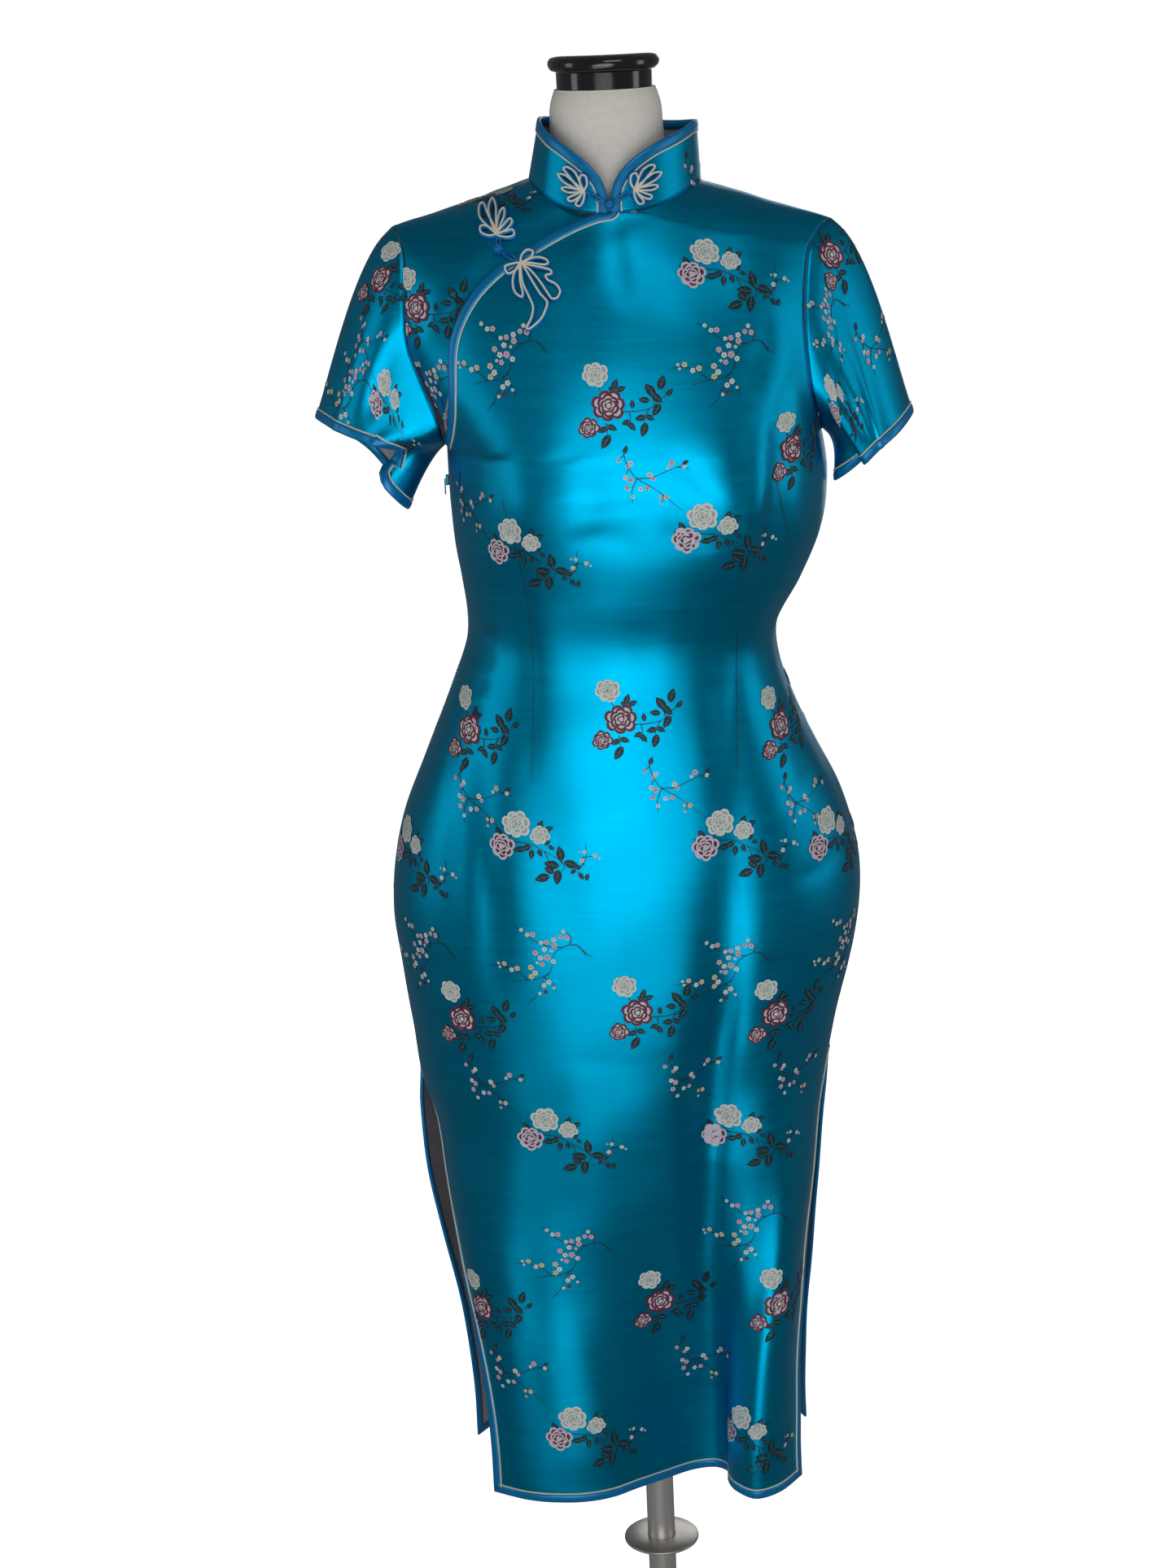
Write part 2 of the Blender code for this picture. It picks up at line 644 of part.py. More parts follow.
def skirt_border(points, out):
    """Edge, next line in and outward direction round both slits and the hem."""
    slit_rows = len(SKIRT_HEIGHTS) - 1
    edge = [points[i][0] for i in range(slit_rows, 0, -1)]
    inner = [points[i][1] for i in range(slit_rows, 0, -1)]
    normal = [out[i][0] for i in range(slit_rows, 0, -1)]
    edge.append(points[0][0])
    inner.append(stretch_corner(points[0][0], points[1][0], points[0][1]))
    normal.append(out[0][0])
    for j in range(1, points.shape[1] - 1):
        edge.append(points[0][j])
        inner.append(points[1][j])
        normal.append(out[0][j])
    edge.append(points[0][-1])
    inner.append(stretch_corner(points[0][-1], points[1][-1], points[0][-2]))
    normal.append(out[0][-1])
    for i in range(1, slit_rows + 1):
        edge.append(points[i][-1])
        inner.append(points[i][-2])
        normal.append(out[i][-1])
    return np.array(edge), np.array(inner), np.array(normal)


def stretch_corner(corner, up, side):
    """A point diagonally inside a square corner."""
    return corner + unit(up - corner) * 0.01 + unit(side - corner) * 0.01


def build_front(mats):
    points, out = panel_points(skirt_front, front_place, FRONT_SHARES)
    body = pull_in(points, SEAM_GAP / 2, ("u0", "u1", "v1"))
    panel = shell("front_panel", body, body - out * WALL, mats["satin"])
    bind_edge("front_hem", panel, skirt_border(body, out), mats)
    first = len(SKIRT_HEIGHTS) + len(TUBE_HEIGHTS) - 1
    last = first + 2 + UPPER_ROWS.index(NECK_ROW)
    edge = body[first:last, 0].copy()
    inner = body[first:last, 1].copy()
    for end, beside, gap in ((0, 1, PLACKET_START_GAP), (-1, -2, PLACKET_END_GAP)):
        shorten = unit(edge[beside] - edge[end]) * gap
        edge[end] += shorten
        inner[end] += shorten
    out_edge = out[first:last, 0]
    line = (edge, square_in(edge, inner, out_edge), out_edge)
    bind_edge("placket", panel, line, mats, halvings=2, lift=PLACKET_LIFT)
    return points, out


def build_back(mats):
    points, out = panel_points(skirt_back, back_place, BACK_SHARES)
    body = pull_in(points, SEAM_GAP / 2, ("u0", "u1", "v1"))
    panel = shell("back_panel", body, body - out * WALL, mats["satin"])
    bind_edge("back_hem", panel, skirt_border(body, out), mats)
    return points, out


def yoke_place(u, v):
    """A place of the small front, from the armhole (u 0) to its hidden edge (u 1)."""
    armhole = body_curve(ARMHOLE_FRONT_RIGHT)
    hidden = edge_then_neck(UNDERLAP_EDGE, UNDERLAP_NECK_ANGLE, -90, yoke_share(NECK_ROW))
    left = lambda share: armhole(YOKE_START + (1 - YOKE_START) * share)
    start = np.array(left(0.0))
    stop = np.array(hidden(0.0))
    bottom = lambda share: start + (stop - start) * share
    shoulder = shoulder_edge(-90, ARMHOLE_FRONT_RIGHT)
    return blend_edges(bottom, lambda share: shoulder(1 - share), left, hidden, u, v)


def yoke_share(row):
    """The yoke's own share for a row of the armhole, so that both meet at the same points."""
    return (row - YOKE_START) / (1 - YOKE_START)


def under_front(point):
    """1 under the front panel and close to its edge, 0 well clear of it."""
    return smooth_step(1 + (UNDERLAP_FLAT - signed_gap(point)) / UNDERLAP_RISE)


def signed_gap(point):
    """Distance in front view from the placket line, positive above it."""
    best = None
    for (x0, z0), (x1, z1) in zip(PLACKET, PLACKET[1:]):
        dx = x1 - x0
        dz = z1 - z0
        t = ((point[0] - x0) * dx + (point[2] - z0) * dz) / (dx * dx + dz * dz)
        t = min(max(t, 0.0), 1.0)
        gap = hypot(point[0] - x0 - t * dx, point[2] - z0 - t * dz)
        above = dx * (point[2] - z0) - dz * (point[0] - x0) > 0
        if best is None or gap < abs(best):
            best = gap if above else -gap
    return best


def body_out(angle, row):
    row = min(max(row, 0.001), 0.999)
    across = body_point(angle + 0.05, row=row) - body_point(angle - 0.05, row=row)
    up = body_point(angle, row=row + 0.0005) - body_point(angle, row=row - 0.0005)
    out = np.cross(across, up)
    return out / np.linalg.norm(out)


def build_yoke(mats):
    points, out = upper_points(yoke_place, [yoke_share(row) for row in UPPER_ROWS], YOKE_SHARES)
    sunk = np.array([[under_front(point) for point in line] for line in points])
    points -= out * sunk[:, :, None] * UNDERLAP_DROP
    body = pull_in(points, SEAM_GAP / 2, ("u0", "v1"))
    shell("right_yoke", body, body - out * WALL, mats["satin"])


def hermite(a, da, b, db, t):
    return (
        a * (2 * t**3 - 3 * t**2 + 1) + da * (t**3 - 2 * t**2 + t)
        + b * (3 * t**2 - 2 * t**3) + db * (t**3 - t**2)
    )


def closed_curve(points, shares):
    """A closed smooth curve through keyed points, read at shares of the way round."""
    rows = [tuple(row) for row in points]
    rows = [(rows[-1][0] - 1.0, *rows[-1][1:])] + rows + [(1.0, *rows[0][1:])]
    rows.append((1.0 + rows[2][0], *rows[2][1:]))
    return np.array([curve_through(rows, share) for share in shares])


def sleeve_rings(armhole, hem_loop, into_hole, gaps, side):
    rings = []
    count = len(armhole)
    for i in range(SLEEVE_RINGS + 1):
        ring = []
        for k in range(count):
            top = 0.5 - 0.5 * cos(2 * pi * k / count)
            leave = np.array((side * (0.045 + 0.045 * top), 0.0, -0.03 - 0.03 * top))
            arrive = (hem_loop[k] - armhole[k]) * (0.75 + 0.1 * top)
            arrive[0] *= 0.8
            start = armhole[k] + into_hole[k] * gaps[k]
            ring.append(hermite(start, leave, hem_loop[k], arrive, i / SLEEVE_RINGS))
        rings.append(ring)
    rings = np.array(rings)
    around = np.roll(rings, -1, axis=1) - np.roll(rings, 1, axis=1)
    down = np.gradient(rings, axis=0)
    return rings, unit(np.cross(down, around)) * side


def build_sleeve(name, front_edge, back_edge, front_out, back_out, hem, side, mats):
    """Rings from the armhole to the hem, starting 0.3 mm inside the armhole's edge."""
    armhole = np.concatenate((front_edge, back_edge[-2:0:-1]))
    seam_out = unit(np.concatenate((front_out, back_out[-2:0:-1])))
    around = np.roll(armhole, -1, axis=0) - np.roll(armhole, 1, axis=0)
    into_hole = unit(np.cross(seam_out, around)) * side
    middle = armhole.mean(axis=0)
    if np.dot(into_hole[0], middle - armhole[0]) < 0:
        into_hole = -into_hole
    rows = (0.0,) + UPPER_ROWS
    shares = [row / 2 for row in rows] + [1 - row / 2 for row in rows[-2:0:-1]]
    hem_loop = closed_curve(hem, shares)
    gaps = np.full(len(armhole), SEAM_GAP)
    rings, out = sleeve_rings(armhole, hem_loop, into_hole, gaps, side)
    lean = np.maximum((out[0] * into_hole).sum(axis=1), 0.0)
    rings, out = sleeve_rings(armhole, hem_loop, into_hole, gaps + WALL * lean, side)
    panel = shell(name, rings, rings - out * WALL, mats["satin"], round_across=True)
    bind_edge(name, panel, (rings[-1], rings[-2], out[-1]), mats, closed=True, halvings=0)


def neck_point(turn):
    """A point of the neckline on the panels' outer face."""
    angle, row = neck_place(turn)
    return body_point(angle, row=row)


def collar_point(turn, height):
    """A point of the collar's middle surface, with its height above the seam."""
    base = neck_point(turn)
    base[0] += COLLAR_STEP_OUT * sin(radians(turn))
    base[1] -= COLLAR_STEP_OUT * cos(radians(turn))
    front = cos(radians(turn)) > 0
    top_x = neck_x(turn, COLLAR_TOP["centre"], COLLAR_TOP["half"])
    depth = COLLAR_TOP["front"] if front else COLLAR_TOP["back"]
    top_y = -depth * cos(radians(turn))
    share = height / COLLAR_HEIGHT
    x = base[0] + (top_x - base[0]) * share
    y = base[1] + (top_y - base[1]) * share
    return np.array((x, y, base[2] + COLLAR_SEAM_RISE + height))


def collar_out(turn, height):
    around = collar_point(turn + 0.5, height) - collar_point(turn - 0.5, height)
    up = collar_point(turn, height + 0.0005) - collar_point(turn, height - 0.0005)
    out = np.cross(around, up)
    return out / np.linalg.norm(out)


def collar_top(turn):
    """Height of the collar's top edge, rounded down to its front end."""
    reach = max(min(abs(turn), 360 - abs(turn)) - COLLAR_END_TURN, 0.0)
    width = COLLAR_CORNER_ANGLE - COLLAR_END_TURN
    if reach >= width:
        return COLLAR_HEIGHT
    across = 1 - reach / width
    rise = (1 - across**COLLAR_CORNER_POWER) ** (1 / COLLAR_CORNER_POWER)
    return COLLAR_END_HEIGHT + (COLLAR_HEIGHT - COLLAR_END_HEIGHT) * rise


def collar_turns():
    sides = list(COLLAR_FRONT_TURNS)
    middle = [64 + 14 * i for i in range(17)]
    return sides + middle + [360 - turn for turn in reversed(sides)]


def build_collar(mats):
    turns = collar_turns()
    shares = (0.0, 0.5, 1.0)
    middle = np.array([[collar_point(t, collar_top(t) * s) for t in turns] for s in shares])
    out = np.array([[collar_out(t, collar_top(t) * s) for t in turns] for s in shares])
    panel = shell(
        "collar", middle + out * COLLAR_WALL / 2, middle - out * COLLAR_WALL / 2, mats["satin"])
    tree = facets(panel)
    edge = []
    inner = []
    normal = []
    for t in turns:
        top = collar_top(t)
        edge.append(collar_point(t, top))
        inner.append(collar_inner(t))
        normal.append(collar_out(t, top * 0.8))
    edge = np.array(edge)
    inner = np.array(inner)
    normal = np.array(normal)
    edge += normal * COLLAR_WALL / 2
    inner += normal * COLLAR_WALL / 2
    strip("collar_binding", tree, edge, inner, normal, 0.0, BINDING_WIDTH, BINDING_THICKNESS,
          mats["binding"])
    strip("collar_piping", tree, edge, inner, normal, BINDING_WIDTH + PIPING_GAP, PIPING_WIDTH,
          PIPING_THICKNESS, mats["piping"])


def collar_inner(turn):
    """A point straight in from the collar's top edge, square to the edge."""
    away = 0.5 if turn < 180 else -0.5
    low = collar_point(turn, collar_top(turn))
    if COLLAR_END_TURN < min(turn, 360 - turn) < COLLAR_CORNER_ANGLE:
        before = collar_point(turn - away, collar_top(turn - away))
        after = collar_point(turn + away, collar_top(turn + away))
    else:
        before = collar_point(turn, collar_top(turn))
        after = collar_point(turn + away, collar_top(turn + away))
    run = unit(after - before)
    inward = np.cross(collar_out(turn, collar_top(turn) * 0.8), run)
    if away > 0:
        inward = -inward
    return low + inward * 0.01


def front_frame(x, z):
    """Point, outward direction and two directions along the front at x, z in front view."""
    angle, row = place_on_body(x, z)
    point = body_point(angle, row=row)
    return point, body_out(angle, row)


def rosette(petals):
    """A closed cord line that runs out and back along each petal, seen from the front."""
    line = []
    ordered = sorted(petals)
    for i, (angle, length, half) in enumerate(ordered):
        turn = radians(angle)
        along_petal = np.array((cos(turn), sin(turn)))
        beside = np.array((-sin(turn), cos(turn)))
        following = ordered[(i + 1) % len(ordered)][0] + (360 if i == len(ordered) - 1 else 0)
        line.append(along_petal * length * 0.62 - beside * half)
        line.append(along_petal * length * 0.92 - beside * half * 0.8)
        line.append(along_petal * length)
        line.append(along_petal * length * 0.92 + beside * half * 0.8)
        line.append(along_petal * length * 0.62 + beside * half)
        between = radians((angle + following) / 2)
        line.append(np.array((cos(between), sin(between))) * FROG_NECK_RADIUS)
    return line


def cord_loop(name, points, mat):
    """A closed cord: a bevelled closed curve through the points, made into a mesh."""
    curve = bpy.data.curves.new(name, "CURVE")
    curve.dimensions = "3D"
    curve.bevel_depth = FROG_CORD_RADIUS
    curve.bevel_resolution = 0
    spline = curve.splines.new("POLY")
    spline.points.add(len(points) - 1)
    for target, point in zip(spline.points, points):
        target.co = (*point, 1.0)
    spline.use_cyclic_u = True
    curve.materials.append(mat)
    item = bpy.data.objects.new(name, curve)
    bpy.context.scene.collection.objects.link(item)
    return item


def build_frogs(mats):
    over_panel = 0.0004 + FROG_CORD_RADIUS
    over_binding = BINDING_LIFT + PIPING_THICKNESS + over_panel
    for name, middle, petals in (
            ("frog_placket_lower", FROG_LOWER, FROG_PETALS_LOWER),
            ("frog_placket_upper", FROG_UPPER, FROG_PETALS_UPPER)):
        points = []
        for dx, dz in rosette(petals):
            x = middle[0] + dx
            z = middle[1] + dz
            point, out = front_frame(x, z)
            from_edge = -signed_gap(point)
            near_band = smooth_step((0.0150 - abs(from_edge - 0.0045)) / 0.006)
            points.append(point + out * (over_panel + (over_binding - over_panel) * near_band))
        cord_loop(name, points, mats["cord"])
    for name, side in (("frog_collar_right", -1), ("frog_collar_left", 1)):
        points = []
        for dx, dz in rosette(FROG_PETALS_COLLAR):
            turn = side * COLLAR_FROG_ANGLE - side * degrees(dx / NECK_HALF)
            height = max(COLLAR_FROG_HEIGHT + dz, 0.003)
            out = collar_out(turn, height)
            points.append(collar_point(turn, height) + out * (COLLAR_WALL / 2 + over_binding))
        cord_loop(name, points, mats["cord"])
    point, out = front_frame(*KNOT_PLACKET)
    ball("knot_placket", point + out * KNOT_PLACKET_LIFT, KNOT_RADIUS, mats["cord"])
    front = collar_point(0, KNOT_COLLAR_HEIGHT)
    ball("knot_collar", front + collar_out(0, KNOT_COLLAR_HEIGHT) * KNOT_COLLAR_LIFT,
         KNOT_RADIUS, mats["cord"])


def ball(name, centre, radius, mat):
    bm = bmesh.new()
    bmesh.ops.create_uvsphere(bm, u_segments=12, v_segments=8, radius=radius)
    bmesh.ops.translate(bm, verts=bm.verts, vec=centre)
    return new_object(name, bm, mat)


def block(name, size, centre, mat):
    bm = bmesh.new()
    bmesh.ops.create_cube(bm, size=1.0)
    bmesh.ops.scale(bm, verts=bm.verts, vec=size)
    bmesh.ops.translate(bm, verts=bm.verts, vec=centre)
    return new_object(name, bm, mat)


def build_zip(mats):
    seam = body_point(-90, z=ZIP_Z)
    face = seam[0] - SEAM_GAP - SLIDER["deep"] / 2
    block("zip_slider", (SLIDER["deep"], SLIDER["wide"], SLIDER["high"]),
          (face, 0.0, ZIP_Z), mats["zip"])
    hinge_x = face - SLIDER["deep"] / 2 - FIT_GAP - PULL_TAB["thick"] / 2
    tab = block("zip_pull_tab", (PULL_TAB["thick"], PULL_TAB["wide"], PULL_TAB["long"]),
                (0.0, 0.0, -PULL_TAB["long"] / 2), mats["zip"])
    tab.location = (hinge_x, 0.0, ZIP_Z + 0.001)


def turned(name, profile, mat, steps=32, closed=False):
    """A body turned about the pole's axis from radius, height points."""
    bm = bmesh.new()
    verts = [bm.verts.new((radius, 0.0, height)) for radius, height in profile]
    edges = [bm.edges.new(pair) for pair in zip(verts, verts[1:])]
    if closed:
        edges.append(bm.edges.new((verts[-1], verts[0])))
    bmesh.ops.spin(bm, geom=verts + edges, cent=(0, 0, 0), axis=(0, 0, 1), dvec=(0, 0, 0),
                   angle=2 * pi, steps=steps, use_merge=True, use_duplicate=False)
    bmesh.ops.remove_doubles(bm, verts=bm.verts, dist=0.00001)
    return new_object(name, bm, mat)


def form_ring(z=None, row=None):
    drop = WALL + FORM_SHOULDER_GAP
    return [body_point(a, z=z, row=row, inset=FORM_INSET, drop=drop) for a in FORM_ANGLES]


def build_form(mats):
    """Padded torso, closed at the bottom round the pole's socket, with the neck joined on."""
    bm = bmesh.new()
    bore = POLE_RADIUS + SOCKET_GAP
    top = FORM_BOTTOM_Z + SOCKET_DEPTH
    count = len(FORM_ANGLES)
    circle = [(sin(radians(a)) * bore, -cos(radians(a)) * bore) for a in FORM_ANGLES]
    rings = [[bm.verts.new((x, y, top)) for x, y in circle]]
    rings.append([bm.verts.new((x, y, FORM_BOTTOM_Z)) for x, y in circle])
    for z in FORM_HEIGHTS:
        rings.append([bm.verts.new(p) for p in form_ring(z=z)])
    for row in UPPER_ROWS[1:-1:2]:
        rings.append([bm.verts.new(p) for p in form_ring(row=row)])
    for a, b in zip(rings, rings[1:]):
        for j in range(count):
            k = (j + 1) % count
            bm.faces.new((a[j], a[k], b[k], b[j]))
    bm.faces.new(rings[0][::-1])
    ridge = [bm.verts.new(p) for p in form_ring(row=1.0)[:count // 2 + 1]]
    last = rings[-1]
    for j in range(count):
        k = (j + 1) % count
        a = ridge[j] if j <= count // 2 else ridge[count - j]
        b = ridge[k] if k <= count // 2 else ridge[count - k]
        bm.faces.new((last[j], last[k], b, a))
    bmesh.ops.remove_doubles(bm, verts=bm.verts, dist=0.00005)
    bmesh.ops.dissolve_degenerate(bm, edges=bm.edges, dist=0.00005)
    torso = new_object("form_torso", bm, mats["linen"])
    profile = ((0.0, NECK_PROFILE[0][1] - 0.02), (NECK_PROFILE[0][0] - 0.006, NECK_PROFILE[0][1] - 0.02))
    profile += NECK_PROFILE + ((0.0, NECK_TOP_Z),)
    neck = turned("neck_solid", profile, mats["linen"], steps=32)
    neck.hide_render = True
    neck.display_type = "WIRE"
    join = torso.modifiers.new("neck", "BOOLEAN")
    join.operation = "UNION"
    join.solver = "EXACT"
    join.object = neck


def build_stand(mats):
    turned("neck_cap", CAP_PROFILE, mats["gloss"])
    foot = BASE_THICKNESS - 0.003
    turned("pole", ((0.0, foot + FIT_GAP), (POLE_RADIUS, foot + FIT_GAP),
                    (POLE_RADIUS, FORM_BOTTOM_Z + SOCKET_DEPTH - FIT_GAP),
                    (0.0, FORM_BOTTOM_Z + SOCKET_DEPTH - FIT_GAP)), mats["steel"])
    flange = tuple((radius, FLANGE_Z + height) for radius, height in FLANGE_PROFILE)
    turned("pole_flange", flange, mats["dark_steel"], closed=True)
    bore = POLE_RADIUS + FIT_GAP
    turned("base_plate", (
        (0.0, 0.0), (BASE_RADIUS, 0.0), (BASE_RADIUS, BASE_THICKNESS - 0.002),
        (BASE_RADIUS - 0.002, BASE_THICKNESS), (HUB_RADIUS, BASE_THICKNESS),
        (HUB_RADIUS - 0.004, BASE_THICKNESS + HUB_HEIGHT), (bore, BASE_THICKNESS + HUB_HEIGHT),
        (bore, foot), (0.0, foot)), mats["dark_steel"], steps=40)


def main():
    clear_scene()
    mats = {
        "satin": material("turquoise_satin", (0.0, 0.30, 0.42), 0.32),
        "binding": material("blue_binding", (0.0, 0.22, 0.50), 0.35),
        "piping": material("cream_piping", (0.80, 0.74, 0.58), 0.45),
        "cord": material("blue_cord", (0.0, 0.20, 0.50), 0.35),
        "zip": material("zip_metal", (0.05, 0.30, 0.45), 0.35, 0.6),
        "linen": material("linen", (0.62, 0.57, 0.50), 0.9),
        "gloss": material("gloss_black", (0.01, 0.01, 0.01), 0.12),
        "steel": material("brushed_steel", (0.60, 0.59, 0.57), 0.28, 1.0),
        "dark_steel": material("dark_steel", (0.22, 0.20, 0.18), 0.35, 1.0),
    }
    front, front_out = build_front(mats)
    back, back_out = build_back(mats)
    build_yoke(mats)
    first = len(SKIRT_HEIGHTS) + len(TUBE_HEIGHTS) - 1
    armhole_right = [place_on_body(x, z) for x, z in ARMHOLE_FRONT_RIGHT]
    right_front = []
    right_out = []
    for row in (0.0,) + UPPER_ROWS:
        angle, level = along(armhole_right, row)
        right_front.append(body_point(angle, row=min(max(level, 0.0), 1.0)))
        right_out.append(body_out(angle, level))
    build_sleeve("right_sleeve", np.array(right_front), back[first:, 0],
                 np.array(right_out), back_out[first:, 0], SLEEVE_HEM_RIGHT, -1, mats)
    build_sleeve("left_sleeve", front[first:, -1], back[first:, -1],
                 front_out[first:, -1], back_out[first:, -1], SLEEVE_HEM_LEFT, 1, mats)
    build_collar(mats)
    build_frogs(mats)
    build_zip(mats)
    build_form(mats)
    build_stand(mats)


main()
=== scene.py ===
import bisect
from math import asin, cos, degrees, hypot, pi, radians, sin, sqrt

import bmesh
import bpy
import numpy as np
from mathutils import Matrix, Vector
from mathutils.bvhtree import BVHTree
from mathutils.geometry import barycentric_transform


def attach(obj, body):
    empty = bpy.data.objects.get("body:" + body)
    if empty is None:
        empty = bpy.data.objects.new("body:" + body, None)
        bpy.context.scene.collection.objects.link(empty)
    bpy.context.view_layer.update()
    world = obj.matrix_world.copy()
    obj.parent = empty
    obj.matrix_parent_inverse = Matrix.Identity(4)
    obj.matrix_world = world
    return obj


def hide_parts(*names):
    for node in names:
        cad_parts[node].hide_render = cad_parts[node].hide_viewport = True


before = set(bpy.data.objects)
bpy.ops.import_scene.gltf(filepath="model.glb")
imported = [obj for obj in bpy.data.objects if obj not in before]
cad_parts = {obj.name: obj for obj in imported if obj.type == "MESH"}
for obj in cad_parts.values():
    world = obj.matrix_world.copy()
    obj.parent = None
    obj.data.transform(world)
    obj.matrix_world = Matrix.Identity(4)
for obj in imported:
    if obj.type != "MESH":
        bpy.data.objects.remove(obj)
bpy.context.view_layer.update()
print("frame loaded")

# Satin: wall, gap of a seam, mesh cells, how the underlap sinks under the front, unevenness
# of hanging cloth and shares that smooth its directions and folds
cloth = {"wall": 0.0012, "seamGap": 0.0003, "cell": 0.0048, "yokeCell": 0.004,
         "collarCell": 0.0035, "underlapDrop": 0.0038, "underlapFlat": 0.005,
         "underlapRise": 0.013, "uneven": 0.00022, "aroundShare": 0.15, "keepOut": 0.15,
         "creaseEase": 0.6}

# Heights above the floor, and the collar's own height
hemZ = 0.285
slitTopZ = 0.653
underarmZ = 1.19
collarHeight = 0.045

# Body of the dress, one row per height: z, half width, centre x, front depth, back depth
body = (
    (0.653, 0.1760, -0.0160, 0.115, 0.115),
    (0.695, 0.1825, -0.0135, 0.118, 0.120),
    (0.731, 0.1895, -0.0105, 0.120, 0.123),
    (0.768, 0.1955, -0.0085, 0.122, 0.124),
    (0.803, 0.1980, -0.0080, 0.122, 0.125),
    (0.830, 0.1960, -0.0075, 0.121, 0.125),
    (0.865, 0.1895, -0.0075, 0.119, 0.122),
    (0.898, 0.1780, -0.0080, 0.116, 0.118),
    (0.934, 0.1615, -0.0085, 0.111, 0.108),
    (0.970, 0.1455, -0.0085, 0.106, 0.098),
    (0.997, 0.1355, -0.0075, 0.102, 0.090),
    (1.025, 0.1280, -0.0040, 0.100, 0.085),
    (1.050, 0.1310, 0.0010, 0.105, 0.085),
    (1.080, 0.1415, 0.0085, 0.114, 0.089),
    (1.112, 0.1505, 0.0135, 0.122, 0.093),
    (1.150, 0.1540, 0.0150, 0.126, 0.098),
    (1.190, 0.1520, 0.0130, 0.125, 0.103),
)
squareness = 2.2
levelPower = 1.25
shoulderHalf = 0.184
shoulderCentre = -0.006
frontRounding = 1.6
backRounding = 3.2
bust = {"x": 0.086, "z": 1.165, "out": 0.013, "wide": 0.050, "high": 0.052}
seat = {"x": 0.080, "z": 0.840, "out": 0.010, "wide": 0.060, "high": 0.070}

# Shoulder line seen from the front: x, z
shoulderLine = (
    (-0.190, 1.3560), (-0.173, 1.3660), (-0.148, 1.3730), (-0.122, 1.3800),
    (-0.096, 1.3880), (-0.069, 1.3970), (-0.030, 1.4110), (0.000, 1.4190),
    (0.030, 1.4110), (0.069, 1.3940), (0.085, 1.3880), (0.111, 1.3800),
    (0.137, 1.3710), (0.162, 1.3630), (0.176, 1.3580), (0.190, 1.3500),
)

# Armholes and the slanted front opening seen from the front: x, z
armholeFrontRight = (
    (-0.1390, 1.190), (-0.1420, 1.214), (-0.1580, 1.258), (-0.1630, 1.276),
    (-0.1640, 1.303), (-0.1645, 1.345), (-0.1730, 1.366),
)
armholeFrontLeft = (
    (0.1650, 1.190), (0.1620, 1.202), (0.1530, 1.235), (0.1520, 1.267),
    (0.1490, 1.302), (0.1500, 1.325), (0.1650, 1.352), (0.1760, 1.358),
)
armholeBackRight = (
    (-0.1390, 1.190), (-0.1400, 1.212), (-0.1500, 1.250), (-0.1580, 1.295),
    (-0.1640, 1.340), (-0.1730, 1.366),
)
armholeBackLeft = (
    (0.1650, 1.190), (0.1600, 1.212), (0.1560, 1.250), (0.1570, 1.295),
    (0.1650, 1.340), (0.1760, 1.358),
)
placket = (
    (-0.1390, 1.190), (-0.1360, 1.206), (-0.1325, 1.234), (-0.1315, 1.259),
    (-0.1280, 1.284), (-0.1200, 1.303), (-0.1050, 1.324), (-0.0820, 1.342),
    (-0.0570, 1.355), (-0.0310, 1.368), (-0.0005, 1.382),
)
underlapEdge = (
    (-0.1230, 1.194), (-0.1160, 1.225), (-0.1145, 1.260), (-0.1080, 1.282),
    (-0.0950, 1.301), (-0.0780, 1.318), (-0.0570, 1.332), (-0.0320, 1.347),
    (-0.0050, 1.362), (0.0140, 1.381),
)

# Neckline seen from above
neckCentreX = 0.0055
neckHalf = 0.0665
neckFront = 0.066
neckBack = 0.055
neckEndAngle = 0.5
underlapNeckAngle = 8.0

# Collar: its top seen from above, rounded front corners, wall, foot under the seam, stations
collarTopSize = {"centre": 0.0095, "half": 0.0615, "front": 0.060, "back": 0.051}
collarCornerAngle = 42.0
collarCornerPower = 2.0
collarWall = 0.0012
collarStepOut = 0.0010
collarSeamRise = 0.0008
collarEndTurn = 1.2
collarEndHeight = 0.006
collarFoot = 0.0014
collarShares = (0.0, 0.33, 0.66, 1.0)
collarFrontTurns = (1.2, 2.2, 4.0, 6.5, 9.5, 13.5, 18.0, 23.0, 29.0, 35.5, 42.0, 52.0)
collarTurns = (
    *collarFrontTurns, *(64 + 14 * i for i in range(17)),
    *(360 - turn for turn in reversed(collarFrontTurns)),
)

# Skirt panels below the slits: z, x of the edge on the wearer's right and left
frontEdges = (
    (0.285, -0.1440, 0.1240), (0.340, -0.1530, 0.1270), (0.400, -0.1625, 0.1315),
    (0.455, -0.1690, 0.1360), (0.525, -0.1735, 0.1420), (0.575, -0.1765, 0.1490),
    (0.620, -0.1815, 0.1535), (0.653, -0.1920, 0.1600),
)
backEdges = (
    (0.285, -0.1620, 0.1350), (0.346, -0.1690, 0.1390), (0.411, -0.1760, 0.1430),
    (0.474, -0.1830, 0.1470), (0.530, -0.1905, 0.1500), (0.607, -0.1940, 0.1560),
    (0.653, -0.1920, 0.1600),
)
